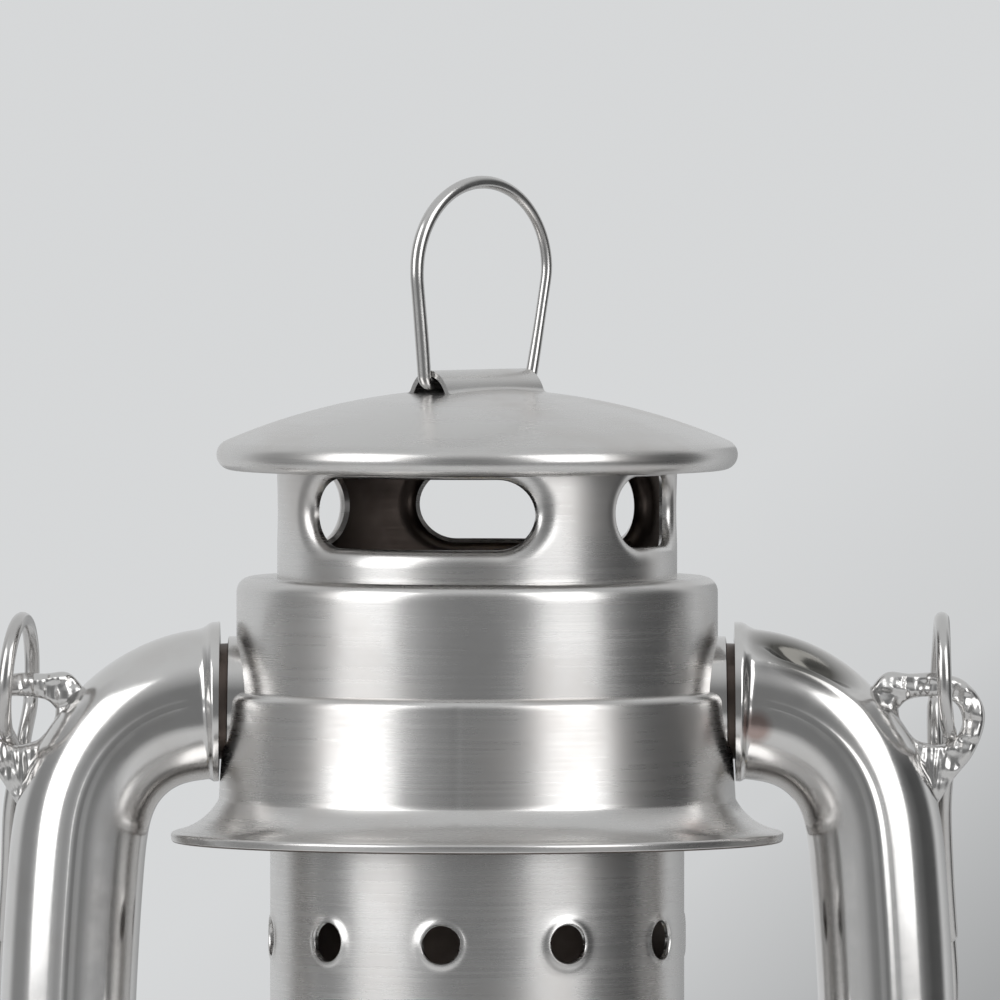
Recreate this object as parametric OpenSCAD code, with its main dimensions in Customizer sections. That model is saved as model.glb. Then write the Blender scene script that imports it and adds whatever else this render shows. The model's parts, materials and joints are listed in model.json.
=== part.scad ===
// Tubular hurricane lantern, standing on its tank, +Z up, tubes at left and right in the XZ plane.
// All sizes are in millimetres.

/* [Sheet and clearances] */
// Thickness of the pressed sheet
sheet = 0.6; // [0.5:0.1:0.8]
// Gap between pieces that slide or turn on each other
slide_gap = 0.3; // [0.25:0.05:0.35]
// Gap between a fixed tube or pin and its hole
seat_gap = 0.05; // [0.03:0.01:0.08]

/* [Fuel tank] */
// Radius of the tank wall
tank_r = 55; // [53:0.5:60]
// Height of the tank
tank_h = 38; // [36:0.5:44]
// Height at which the wall turns into the shoulder
tank_wall_h = 20; // [17:0.5:22]
// Radius of the shoulder's bend
shoulder_r = 14; // [12:0.5:15]
// Radius of the rolled bottom seam
seam_r = 2.2; // [1.8:0.1:2.6]
// Radius of the burner's hole in the tank
mouth_r = 15; // [14.8:0.1:15.4]

/* [Filler] */
// Distance of the filler from the axis
filler_at = 42; // [42:0.5:43]
// Direction of the filler, from +X
filler_dir = 235; // [225:1:240]
// Outer radius of the filler neck
neck_r = 7.5; // [6.5:0.25:7.5]
// Wall of the filler neck
neck_wall = 1.2; // [0.9:0.1:1.6]
// Height of the neck above the tank top
neck_rise = 6.2; // [5.6:0.2:8]
// Thickness of the gasket
gasket_t = 1.2; // [0.8:0.1:1.6]
// Wall of the filler cap
cap_wall = 1.6; // [1.2:0.1:2]
// Flutes round the cap
cap_flutes = 20; // [14:1:24]

/* [Burner] */
// Radius of the burner's gallery
gallery_r = 16; // [15.8:0.1:16.4]
// Height of the burner cone above its flange
cone_h = 14; // [12:0.5:16]
// Width of the flat wick
wick_w = 15; // [12:0.5:16]
// Thickness of the wick
wick_t = 2.4; // [2:0.1:2.8]
// Height of the wick shaft above the tank
shaft_rise = 10.5; // [10.2:0.1:11]
// Radius of the wick shaft
shaft_r = 1.25; // [1:0.05:1.5]
// Radius of the spiked wick wheels
wheel_r = 4; // [3.6:0.1:4.2]
// Radius of the wick knob
knob_r = 7.5; // [6:0.25:8]
// Distance of the knob from the axis
knob_at = 42; // [38:0.5:50]

/* [Air chamber and globe carriage] */
// Radius of the air chamber
chamber_r = 30; // [29:0.5:32]
// Height of the air chamber
chamber_h = 21; // [20.5:0.5:24]
// Radius of the globe guard's uprights
guard_r = 44; // [42:0.5:45]
// Thickness of the guard wire
guard_wire = 2; // [1.6:0.1:2.4]
// Height of the guard's upper hoop above the globe plate
guard_h = 52; // [40:1:60]
// Widest radius of the globe
globe_r = 38.5; // [34:0.5:40]
// Radius of the globe's top
globe_top_r = 26.5; // [25:0.5:27]
// Radius of the globe's foot
globe_foot_r = 27; // [26:0.5:29]
// Height of the globe
globe_h = 75.5; // [74:0.5:90]
// Thickness of the glass
glass_t = 2; // [1.6:0.1:2.4]
// Lift of the globe carriage
globe_lift = 8; // [6:0.5:8]

/* [Crown] */
// Outer radius of the perforated drum
drum_r = 29; // [29:0.1:29.4]
// Height of the perforated drum
drum_h = 31; // [30:0.1:34]
// Number of holes in the drum
drum_holes = 10; // [8:1:12]
// Diameter of a drum hole
drum_hole_d = 5.3; // [4:0.1:6]
// Height of the hole row above the drum's foot
hole_rise = 13.9; // [11:0.1:16]
// Outer radius of the chimney
chimney_r = 28; // [27:0.1:28.2]
// Height of the dome's apex above the collar
hood_rise = 26.3; // [25:0.1:32]
// Width of the front and back windows, as an angle round the chimney
window_span = 76.5; // [60:0.5:80]
// Width of the windows at the sides, as an angle round the chimney
side_window_span = 44; // [36:0.5:50]
// Height of a window
window_h = 9.8; // [8:0.1:10.4]
// Height of the window's middle above the collar
window_rise = 9.4; // [8.6:0.1:9.8]
// Turn of the front window's middle from the front
window_turn = -20; // [-30:0.5:-10]
// Turn of the right window's middle from the front
side_window_turn = 68; // [60:0.5:76]
// Radius of the hood
hood_r = 36.5; // [34:0.1:40]
// Radius of the hood's dome
dome_r = 89; // [84:1:100]
// Radius of the hood's rolled rim
rim_r = 2.1; // [1.6:0.05:2.3]
// Turns of the crown spring
spring_turns = 5; // [4:1:6]
// Thickness of the spring wire
spring_wire = 0.9; // [0.7:0.1:1]

/* [Lift loop] */
// Turn of the loop's tunnel from +X
loop_turn = 42; // [0:1:90]
// Thickness of the loop's wire
loop_wire = 1.8; // [1.4:0.1:2]
// Radius of the loop's bow, at the middle of the wire
loop_r = 12.2; // [11.5:0.1:14]
// Height of the loop's top above its feet
loop_h = 29; // [26:0.1:34]
// Length of the stamped tunnel
tunnel_l = 18; // [17:0.5:20]
// Outer radius of the stamped tunnel
tunnel_r = 4.4; // [4:0.1:4.8]

/* [Collar] */
// Outer radius of the upper collar
upper_r = 33.7; // [33.5:0.1:34]
// Height of the upper collar above the seam
upper_h = 15.9; // [15:0.1:20]
// Radius of the lower collar at the seam
lower_r = 35.4; // [35.2:0.1:35.8]
// Radius of the lower collar above the skirt
lower_foot_r = 36.2; // [36:0.1:37]
// Height of the lower collar with its skirt
lower_h = 21.3; // [21:0.1:24]
// Radius of the skirt's lip
skirt_r = 42.8; // [41:0.1:45]
// Height of the skirt's turned lip
lip_h = 1.5; // [1.3:0.1:2.2]
// Length of drum that the skirt hides
skirt_cover = 4; // [3:0.1:5]

/* [Side tubes] */
// Outer radius of the side tubes
tube_r = 9.5; // [8.5:0.1:9.8]
// Radius of the tubes' bends at their middle line
bend_r = 18.2; // [17.6:0.2:22]
// Outward lean of the tube below the upper bend
tube_lean = 5; // [2:0.5:7]
// Radius of the raised bead along the tube
bead_r = 1; // [0.7:0.1:1.2]
// Radius of the lip round the tube's end
lip_r = 11; // [10.6:0.1:11.4]

/* [Bail and ears] */
// Thickness of the bail wire
bail_wire = 2; // [1.6:0.1:2.2]
// Radius of the bail's eyes
eye_r = 8; // [7.8:0.1:8.2]
// Length of the bail's straight arms
arm_l = 64; // [60:1:80]
// Length of the wire's free tail below the eye
tail_l = 29; // [20:1:34]
// Thickness of the ear plates
ear_t = 3; // [2:0.1:3]

/* [Hidden] */
$fn = 96;
past = 1;
// A run that ends inside the next one is this much thinner, and goes this far in
sleeve = 0.02;
tuck = 0.4;

// Tank levels
ledge_h = 3.4;
dish_h = 2;
dish_r = tank_r - 20;
shoulder_turn = 60;
filler_x = filler_at * cos(filler_dir);
filler_y = filler_at * sin(filler_dir);
neck_top = tank_h + neck_rise;
neck_foot = tank_h - 10;
cap_foot = tank_h + 0.6;
cap_r = neck_r + slide_gap + cap_wall;
flute_r = 0.7;

// Burner levels
flange_t = 1;
collar_flange_r = mouth_r + 2;
plug_depth = 4;
gallery_foot = tank_h + flange_t;
chamber_top = tank_h + chamber_h;
gallery_top = chamber_top - 0.8;
gallery_wall = 0.8;
cone_flange_r = gallery_r + 3;
cone_r = gallery_r - 1;
tube_wall = 0.7;
wick_play = 0.35;
wick_tube_w = wick_w + 2 * (wick_play + tube_wall);
wick_tube_t = wick_t + 2 * (wick_play + tube_wall);
wick_tube_foot = tank_h - 16;
wick_tube_top = gallery_top + 6;
wick_foot = ledge_h + dish_h + sheet + 5;
wick_top = wick_tube_top + 3;
shaft_z = tank_h + shaft_rise;
shaft_x = wick_t / 2 + slide_gap + wheel_r;
wheel_t = 1.2;
wheel_at = 3.5;
knob_t = 5;

// Globe carriage levels
plate_z = chamber_top + slide_gap;
plate_r = guard_r + guard_wire / 2 + 0.5;
plate_bore_r = cone_flange_r + 2;
plate_flat_x = 41.6;
globe_z = plate_z + sheet;
globe_top = globe_z + globe_h;
guard_dirs = [35, 90, 145, 215, 270, 325];
hoop_z = globe_z + guard_h;

// Crown levels
drum_z = globe_top + slide_gap;
drum_top = drum_z + drum_h;
skirt_z = drum_top - skirt_cover;
seam_z = skirt_z + lower_h;
collar_top = seam_z + upper_h;
dome_z = collar_top + hood_rise - dome_r;
chimney_foot = drum_top - 6;
chimney_top = dome_z + sqrt(pow(dome_r - sheet, 2) - pow(chimney_r, 2)) - 0.02;
window_z = collar_top + window_rise;
flare_from = 208;
flare_to = 263;
flare_r = (skirt_r - lower_foot_r) / (cos(flare_to) - cos(flare_from));
flare_x = lower_foot_r - flare_r * cos(flare_from);
flare_z = skirt_z + lip_h - flare_r * sin(flare_to);
spring_seat_r = drum_r + 2.2;
spring_r = drum_r + 1.3;

// Hood
hood_edge_r = hood_r - rim_r * (1 - hood_r / dome_r);
hood_edge_z = dome_z + sqrt(dome_r * dome_r - hood_edge_r * hood_edge_r);
rim_x = hood_r - rim_r;
rim_z = hood_edge_z - rim_r * sqrt(1 - pow(hood_edge_r / dome_r, 2));
tunnel_z = dome_z + dome_r - 1.7;
tunnel_bore = tunnel_r - 0.7;
foot_z = tunnel_z + tunnel_bore - slide_gap - loop_wire / 2;
foot_out = tunnel_l / 2 + loop_wire / 2;
foot_in = 3;
bow_z = foot_z + loop_h - loop_r - loop_wire / 2;

// Side tubes
lip_x = lower_foot_r + 0.2;
lip_t = 1.2;
bend_x = lip_x + lip_t - 0.1;
tube_top_z = seam_z - 1.5;
tube_low_z = tank_h + shaft_rise;
tube_mid_z = (tube_top_z + tube_low_z) / 2;
bow_half = tube_top_z - bend_r + bend_r * sin(tube_lean) - tube_mid_z;
bow_r = bow_half / sin(tube_lean);
bow_x = bend_x + bend_r * cos(tube_lean) - bow_r * cos(tube_lean);
bow_tuck = tuck * 180 / PI / bow_r;
stub_top_x = upper_r - 1.5;
stub_low_x = chamber_r - 1.5;

// Lift lever
lever_wire = 2.4;
hub_t = 3;
hub_r = 2.7;
lever_y = -(tube_r + 4.5);
lever_x = bend_x + 15;
lever_tip_x = 36.6;
lever_drop = atan(globe_lift / 2 / (lever_x - lever_tip_x));
lever_in = (lever_x - lever_tip_x) / cos(lever_drop);
lever_z = plate_z - slide_gap - lever_wire / 2 + globe_lift / 2;
lever_out = 26;
lever_rise = 30;
boss_r = 3.6;
pin_r = 1.2;

// Bail and ears
bail_z = tube_top_z + 3.4;
bail_x = bend_x + bend_r + tube_r - 0.1;
eye_x = bail_x + 0.4 * bail_wire;
tail_x = bail_x + bail_wire + 0.05;
bail_reach = arm_l + bail_x;
bail_lean = asin((plate_r + slide_gap + bail_wire / 2) / bail_reach);
ear_hole_r = 3.4;
ear_hole_z = bail_z - eye_r + 2;
ear_top = bail_z + 0.6;
ear_lobe_r = ear_top - ear_hole_z;
ear_lobe_x = eye_x - 1.4;
ear_root_x = bend_x + bend_r - 3;

// Points on an arc of radius r about (x, z), from angle a to angle b
function arc(x, z, r, a, b, n = 8) =
    [for (i = [0 : n]) [x + r * cos(a + (b - a) * i / n), z + r * sin(a + (b - a) * i / n)]];

// Half width of the globe at the height share t: a quarter sine up to the belly, then an S to the neck
function globe_half(t, belly = 0.38) = t < belly
    ? globe_foot_r + (globe_r - globe_foot_r) * sin(90 * t / belly)
    : globe_top_r + (globe_r - globe_top_r) * (1 + cos(180 * (t - belly) / (1 - belly))) / 2;

// Wall of the tank at the depth d below its outer skin, from the wall's foot to the mouth
function tank_skin(d) = let (arc_r = shoulder_r - d,
                             end = tank_wall_h + arc_r * sin(shoulder_turn),
                             run = (tank_h - d - end) / tan(90 - shoulder_turn))
    concat(arc(tank_r - shoulder_r, tank_wall_h, arc_r, 0, shoulder_turn),
           [[tank_r - shoulder_r + arc_r * cos(shoulder_turn) - run, tank_h - d], [mouth_r, tank_h - d]]);

function reverse(list) = [for (i = [len(list) - 1 : -1 : 0]) list[i]];

// Solid turned from a profile of [radius, height] points
module turned(profile) {
    rotate_extrude() polygon(profile);
}

// Hollow cylinder standing on z
module pipe(r_out, r_in, z, h) {
    translate([0, 0, z]) difference() {
        cylinder(r = r_out, h = h);
        translate([0, 0, -past]) cylinder(r = r_in, h = h + 2 * past);
    }
}

// Flat slab with round ends, long along Y, standing on z
module round_slab(length, width, z, h) {
    translate([0, 0, z]) linear_extrude(h) {
        square([width, length - width], center = true);
        for (side = [-1, 1]) translate([0, side * (length - width) / 2]) circle(d = width);
    }
}

// Rod of radius r between two points
module rod(a, b, r) {
    v = b - a;
    translate(a) rotate([0, acos(v[2] / norm(v)), atan2(v[1], v[0])]) cylinder(r = r, h = norm(v));
}

// Part of a ring of the wire or tube profile given as child, in the XZ plane about (x, z)
module bent(x, z, r, from, to, fineness = $fn) {
    translate([x, 0, z]) rotate([90, 0, 0]) rotate([0, 0, from])
        rotate_extrude(angle = to - from, $fn = fineness) translate([r, 0]) children();
}

// Straight run along +X of the profile given as child
module straight_run(x, z, l) {
    translate([x, 0, z]) rotate([90, 0, 90]) linear_extrude(l) children();
}

module fuel_tank() color("gainsboro") difference() {
    turned(concat([[tank_r - seam_r, 0]],
                  arc(tank_r, seam_r, seam_r, -90, 75),
                  tank_skin(0),
                  reverse(tank_skin(sheet)),
                  [[tank_r - sheet, ledge_h], [tank_r - seam_r, ledge_h]]));
    translate([filler_x, filler_y, neck_foot]) cylinder(r = neck_r + seat_gap, h = tank_h);
}

module tank_base() color("gainsboro") turned([
    [0, ledge_h + dish_h], [dish_r, ledge_h + dish_h], [dish_r + 2 * dish_h, ledge_h],
    [tank_r - sheet - seat_gap, ledge_h], [tank_r - sheet - seat_gap, ledge_h + sheet],
    [dish_r + 2 * dish_h + 0.2, ledge_h + sheet], [dish_r + 0.2, ledge_h + dish_h + sheet],
    [0, ledge_h + dish_h + sheet]]);

module filler_neck() color("silver") translate([filler_x, filler_y, 0])
    pipe(neck_r, neck_r - neck_wall, neck_foot, neck_top - neck_foot);

module filler_cap() color("silver") translate([filler_x, filler_y, 0]) difference() {
    roof = neck_top + gasket_t + 2 * seat_gap;
    turned([[neck_r + slide_gap, cap_foot], [cap_r, cap_foot], [cap_r, roof + cap_wall - 1],
            [cap_r - 1, roof + cap_wall], [cap_r - 3.4, roof + cap_wall], [cap_r - 4, roof + cap_wall - 0.6],
            [0, roof + cap_wall - 0.6], [0, roof], [neck_r + slide_gap, roof]]);
    for (i = [0 : cap_flutes - 1]) rotate([0, 0, i * 360 / cap_flutes])
        translate([cap_r + 0.3, 0, cap_foot + 1.4]) cylinder(r = flute_r, h = cap_r, $fn = 24);
}

module cap_gasket() color("dimgray") translate([filler_x, filler_y, 0])
    pipe(neck_r, neck_r - neck_wall - 1.2, neck_top + seat_gap, gasket_t);

module burner_collar() color("goldenrod") turned([
    [mouth_r - 1, tank_h - plug_depth], [mouth_r - seat_gap, tank_h - plug_depth],
    [mouth_r - seat_gap, tank_h], [collar_flange_r, tank_h], [collar_flange_r, tank_h + flange_t - 0.2],
    [mouth_r - 1, tank_h + flange_t - 0.2]]);

module burner_body() color("goldenrod") difference() {
    union() {
        translate([0, 0, tank_h - plug_depth]) cylinder(r = mouth_r - 1 - seat_gap, h = plug_depth + flange_t);
        translate([0, 0, tank_h + flange_t - 0.2]) cylinder(r = gallery_r, h = flange_t);
        pipe(gallery_r, gallery_r - gallery_wall, gallery_foot, gallery_top - gallery_foot);
    }
    round_slab(wick_tube_w + 2 * seat_gap, wick_tube_t + 2 * seat_gap, tank_h - plug_depth - past, 3 * plug_depth);
    for (i = [0 : 11]) rotate([0, 0, 15 + i * 30]) translate([gallery_r - 3, 0, gallery_top - 4])
        rotate([0, 90, 0]) cylinder(d = 3.4, h = 6, $fn = 24);
    translate([shaft_x, -gallery_r - past, shaft_z]) rotate([-90, 0, 0])
        cylinder(r = shaft_r + seat_gap, h = 2 * gallery_r + 2 * past);
}

module burner_cone() color("gold") difference() {
    union() {
        pipe(cone_flange_r, cone_r - 0.5, gallery_top, sheet);
        translate([0, 0, gallery_top]) intersection() {
            difference() {
                sphere(r = cone_r);
                sphere(r = cone_r - gallery_wall);
            }
            cylinder(r = cone_r + past, h = cone_h);
        }
    }
    round_slab(wick_w + 5, 5, gallery_top + 2, 2 * cone_h);
    for (i = [0 : 17]) rotate([0, 0, i * 20]) translate([cone_r - 4, 0, gallery_top + 3.4])
        rotate([0, 90, 0]) cylinder(d = 1.6, h = 8, $fn = 20);
}

module wick_tube() color("goldenrod") difference() {
    round_slab(wick_tube_w, wick_tube_t, wick_tube_foot, wick_tube_top - wick_tube_foot);
    round_slab(wick_w + 2 * wick_play, wick_t + 2 * wick_play, wick_tube_foot - past,
               wick_tube_top - wick_tube_foot + 2 * past);
    translate([0, -wheel_at - wheel_t, shaft_z - wheel_r - slide_gap])
        cube([wick_tube_t, 2 * (wheel_at + wheel_t), 2 * (wheel_r + slide_gap)]);
}

module wick() color("ivory") round_slab(wick_w, wick_t, wick_foot, wick_top - wick_foot);

module wick_shaft() color("goldenrod") translate([shaft_x, 0, shaft_z]) rotate([90, 0, 0])
    translate([0, 0, -gallery_r - 1]) cylinder(r = shaft_r, h = knob_at + gallery_r + 1);

module wick_wheels() color("goldenrod") for (side = [-1, 1])
    translate([shaft_x, side * wheel_at, shaft_z]) rotate([90, 0, 0]) difference() {
        linear_extrude(wheel_t, center = true) {
            circle(r = wheel_r - 0.8);
            for (i = [0 : 11]) rotate(i * 30) translate([wheel_r - 1.4, 0])
                polygon([[0, -0.7], [1.4, 0], [0, 0.7]]);
        }
        cylinder(r = shaft_r + 0.01, h = 2 * wheel_t, center = true);
    }

module wick_knob() color("silver") translate([shaft_x, -knob_at, shaft_z]) rotate([90, 0, 0]) difference() {
    turned([[0, 0], [2.4, 0], [2.4, 1], [knob_r - 0.5, 1], [knob_r, 1.5], [knob_r, knob_t - 0.5],
            [knob_r - 0.5, knob_t], [knob_r - 2, knob_t], [knob_r - 3, knob_t - 1], [0, knob_t - 1]]);
    for (i = [0 : 23]) rotate([0, 0, i * 15]) translate([knob_r + 0.15, 0, 0])
        cylinder(r = 0.55, h = 2 * knob_t, $fn = 20);
}

module air_chamber() color("gainsboro") difference() {
    turned([[collar_flange_r + 0.2, tank_h], [chamber_r + 2, tank_h], [chamber_r + 2, tank_h + sheet],
            [chamber_r, tank_h + 2.4], [chamber_r, chamber_top - 2],
            [chamber_r - 2, chamber_top], [chamber_r - 6, chamber_top], [chamber_r - 6, chamber_top - sheet],
            [chamber_r - 2.2, chamber_top - sheet], [chamber_r - sheet, chamber_top - 2.2],
            [chamber_r - sheet, tank_h + sheet], [collar_flange_r + 0.2, tank_h + sheet]]);
    translate([-chamber_r - 3, 0, tube_low_z]) rotate([0, 90, 0])
        cylinder(r = tube_r + seat_gap, h = 2 * chamber_r + 6);
    translate([shaft_x, 0, shaft_z]) rotate([90, 0, 0]) cylinder(r = shaft_r + 1, h = chamber_r + past);
}

module globe_plate() color("gainsboro") difference() {
    union() {
        pipe(plate_r, plate_bore_r, plate_z, sheet);
        pipe(globe_foot_r - glass_t - slide_gap, globe_foot_r - glass_t - slide_gap - sheet, plate_z, 3);
    }
    for (side = [-1, 1]) translate([side * plate_r, 0, plate_z])
        cube([2 * (plate_r - plate_flat_x), 2 * tube_r, 4 * sheet], center = true);
    translate([lever_tip_x + 0.7, lever_y - lever_wire / 2 - 0.6, plate_z - past])
        cube([plate_r, lever_wire + 1.2, sheet + 2 * past]);
    for (i = [0 : 23]) rotate([0, 0, 7.5 + i * 15]) translate([(plate_r + globe_foot_r) / 2, 0, plate_z - past])
        cylinder(d = 4, h = sheet + 2 * past, $fn = 24);
}

module globe_guard() color("silver") {
    translate([0, 0, hoop_z]) rotate_extrude() translate([guard_r, 0]) circle(d = guard_wire, $fn = 32);
    for (dir = guard_dirs) rotate([0, 0, dir]) translate([guard_r, 0, globe_z])
        cylinder(d = guard_wire, h = guard_h, $fn = 32);
}

module globe() color([0.85, 0.92, 0.95, 0.4]) {
    steps = 28;
    outer = [for (i = [0 : steps]) [globe_half(i / steps), globe_z + globe_h * i / steps]];
    inner = [for (i = [steps : -1 : 0]) [globe_half(i / steps) - glass_t, globe_z + globe_h * i / steps]];
    turned(concat(outer, inner));
}

module lever_bracket() color("silver") difference() {
    translate([lever_x, 0, lever_z]) rotate([90, 0, 0])
        cylinder(r = boss_r, h = -lever_y - hub_t / 2 - slide_gap);
    tube_bend(tube_low_z + bend_r, -90, 15);
    translate([lever_x, 0, lever_z]) rotate([90, 0, 0]) cylinder(r = pin_r + seat_gap, h = 2 * tube_r);
}

module lift_lever() color("silver") {
    pivot = [lever_x, lever_y, lever_z];
    inward = [-cos(lever_drop), 0, -sin(lever_drop)];
    outward = [cos(lever_rise), 0, sin(lever_rise)];
    tip = pivot + lever_in * inward;
    elbow = pivot + lever_out * outward;
    rod(pivot + 1.5 * inward, tip, lever_wire / 2);
    rod(pivot + 1.5 * outward, elbow, lever_wire / 2);
    translate(tip) sphere(d = lever_wire + 0.1, $fn = 32);
    translate(pivot) rotate([90, 0, 0]) cylinder(r = hub_r, h = hub_t, center = true);
    translate(pivot + [0, tube_r / 2 - 0.3, 0]) rotate([90, 0, 0]) cylinder(r = pin_r, h = tube_r / 2);
    translate(elbow + [3, 0, 0]) intersection() {
        cylinder(r = 6, h = lever_wire, center = true);
        cube([14, 10, 2 * lever_wire], center = true);
    }
}

module crown_drum() color("silver") difference() {
    union() {
        turned([[globe_top_r - glass_t - 2, drum_z], [drum_r + 0.6, drum_z], [drum_r + 4, drum_z - 3],
                [drum_r + 4.6, drum_z - 3], [drum_r + 4.8, drum_z - 2.4], [drum_r + 1.4, drum_z + 1],
                [drum_r, drum_z + 2.2], [drum_r, drum_top - sheet], [spring_seat_r, drum_top - sheet],
                [spring_seat_r, drum_top], [chimney_r + seat_gap, drum_top],
                [chimney_r + seat_gap, drum_top - sheet], [drum_r - sheet, drum_top - sheet],
                [drum_r - sheet, drum_z + sheet], [globe_top_r - glass_t - 2, drum_z + sheet]]);
    }
    for (i = [0 : drum_holes - 1]) rotate([0, 0, -100 + i * 360 / drum_holes])
        translate([drum_r - 4, 0, drum_z + hole_rise]) rotate([0, 90, 0]) cylinder(d = drum_hole_d, h = 8, $fn = 48);
}

module chimney_tube() color("silver") difference() {
    pipe(chimney_r, chimney_r - sheet, chimney_foot, chimney_top - chimney_foot);
    for (turn = [0, 180]) {
        rotate([0, 0, turn + window_turn]) window_cut(window_span);
        rotate([0, 0, turn + side_window_turn]) window_cut(side_window_span);
    }
}

module window_cut(span) {
    half = chimney_r * sin(span / 2) - window_h / 2;
    start = chimney_r * cos(span / 2) - 2;
    translate([0, -start, window_z]) rotate([90, 0, 0]) linear_extrude(chimney_r + past - start) {
        square([2 * half, window_h], center = true);
        for (side = [-1, 1]) translate([side * half, 0]) circle(d = window_h);
    }
}

module hood() color("gainsboro") difference() {
    union() {
        translate([0, 0, dome_z]) intersection() {
            difference() {
                sphere(r = dome_r);
                sphere(r = dome_r - sheet);
            }
            cylinder(r = hood_edge_r, h = 2 * dome_r);
        }
        rotate_extrude() translate([rim_x, rim_z]) circle(r = rim_r, $fn = 32);
        difference() {
            rotate([0, 0, loop_turn]) translate([-tunnel_l / 2, 0, tunnel_z]) rotate([0, 90, 0])
                cylinder(r = tunnel_r, h = tunnel_l);
            translate([0, 0, dome_z]) sphere(r = dome_r - sheet);
        }
    }
    rotate([0, 0, loop_turn]) translate([-tunnel_l / 2, 0, tunnel_z]) rotate([0, 90, 0])
        cylinder(r = tunnel_bore, h = tunnel_l);
}

module lift_ring() color("silver") rotate([0, 0, loop_turn]) {
    reach = norm([foot_out, bow_z - foot_z]);
    tangent = acos(loop_r / reach) - atan2(bow_z - foot_z, foot_out);
    bent(0, bow_z, loop_r, tangent, 180 - tangent) circle(d = loop_wire, $fn = 32);
    for (side = [-1, 1]) {
        foot = [side * foot_out, 0, foot_z];
        top = [side * loop_r * cos(tangent), 0, bow_z + loop_r * sin(tangent)];
        rod(foot, top + tuck * [side * -sin(tangent), 0, cos(tangent)], loop_wire / 2 - sleeve);
        translate(foot) sphere(d = loop_wire + 2 * sleeve, $fn = 32);
        rod(foot, foot - [side * foot_in, 0, 0], loop_wire / 2 - sleeve);
    }
}

// One unbroken tube along a helix, closed at both ends
module crown_spring() color("gray") {
    low = drum_top + spring_wire / 2 + seat_gap;
    high = collar_top - sheet - spring_wire / 2 - seat_gap;
    rings = 24;
    sides = 6;
    count = spring_turns * rings;
    points = [for (i = [0 : count], k = [0 : sides - 1])
        let (a = i * 360 / rings, b = k * 360 / sides, r = spring_r + spring_wire / 2 * cos(b))
        [r * cos(a), r * sin(a), low + (high - low) * i / count + spring_wire / 2 * sin(b)]];
    walls = [for (i = [0 : count - 1], k = [0 : sides - 1])
        let (a = i * sides + k, b = i * sides + (k + 1) % sides)
        each [[a, a + sides, b], [b, a + sides, b + sides]]];
    ends = [for (k = [1 : sides - 2])
        each [[0, k, k + 1], [count * sides, count * sides + k + 1, count * sides + k]]];
    polyhedron(points, concat(walls, ends));
}

module tube_holes() {
    translate([-skirt_r, 0, tube_top_z]) rotate([0, 90, 0]) cylinder(r = tube_r + seat_gap, h = 2 * skirt_r);
}

module upper_collar() color("silver") difference() {
    corner = 2.1;
    turned(concat([[upper_r, seam_z - 2]], arc(upper_r - corner, collar_top - corner, corner, 0, 90),
                  [[chimney_r + slide_gap, collar_top], [chimney_r + slide_gap, collar_top - sheet]],
                  reverse(arc(upper_r - corner, collar_top - corner, corner - sheet, 0, 90)),
                  [[upper_r - sheet, seam_z - 2]]));
    tube_holes();
}

module lower_collar() color("silver") difference() {
    bend = lower_r - upper_r - seat_gap;
    turned(concat(arc(lower_r - bend, seam_z - bend, bend, 90, 0),
                  arc(flare_x, flare_z, flare_r, flare_from, flare_to),
                  [[skirt_r, skirt_z + lip_h - 0.4], [skirt_r - 1, skirt_z], [skirt_r - 1.6, skirt_z]],
                  arc(flare_x, flare_z, flare_r + sheet, flare_to - 5, flare_from),
                  [[lower_r - sheet, seam_z - bend - 0.2], [upper_r + seat_gap, seam_z - bend]]));
    tube_holes();
}

// Solid bend of a side tube at +X, for cutting what seats on it
module tube_bend(z, from, to) {
    bent(bend_x, z, bend_r, from, to) {
        circle(r = tube_r + sleeve + seat_gap);
        for (side = [-1, 1]) translate([0, side * (tube_r - 0.3)]) circle(r = bead_r + sleeve + seat_gap, $fn = 32);
    }
}

// Cross-section of a side tube with a bead on its front and back
module tube_section(grow) {
    difference() {
        union() {
            circle(r = tube_r + grow);
            for (side = [-1, 1]) translate([0, side * (tube_r - 0.3)]) circle(r = bead_r + grow, $fn = 32);
        }
        circle(r = tube_r - sheet - grow);
    }
}

module ring_section(r_out, r_in) {
    difference() {
        circle(r = r_out);
        circle(r = r_in);
    }
}

module side_tube() {
    bent(bend_x, tube_low_z + bend_r, bend_r, -90, -tube_lean) tube_section(sleeve);
    bent(bend_x, tube_top_z - bend_r, bend_r, tube_lean, 90) tube_section(sleeve);
    bent(bow_x, tube_mid_z, bow_r, -tube_lean - bow_tuck, tube_lean + bow_tuck, 720) tube_section(0);
    straight_run(stub_low_x, tube_low_z, bend_x + tuck - stub_low_x) ring_section(tube_r, tube_r - sheet);
    straight_run(stub_top_x, tube_top_z, bend_x + tuck - stub_top_x) ring_section(tube_r, tube_r - sheet);
    straight_run(lip_x, tube_top_z, lip_t) ring_section(lip_r, tube_r - sheet / 2);
}

module side_tube_right() color("silver") side_tube();

module side_tube_left() color("silver") rotate([0, 0, 180]) side_tube();

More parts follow.
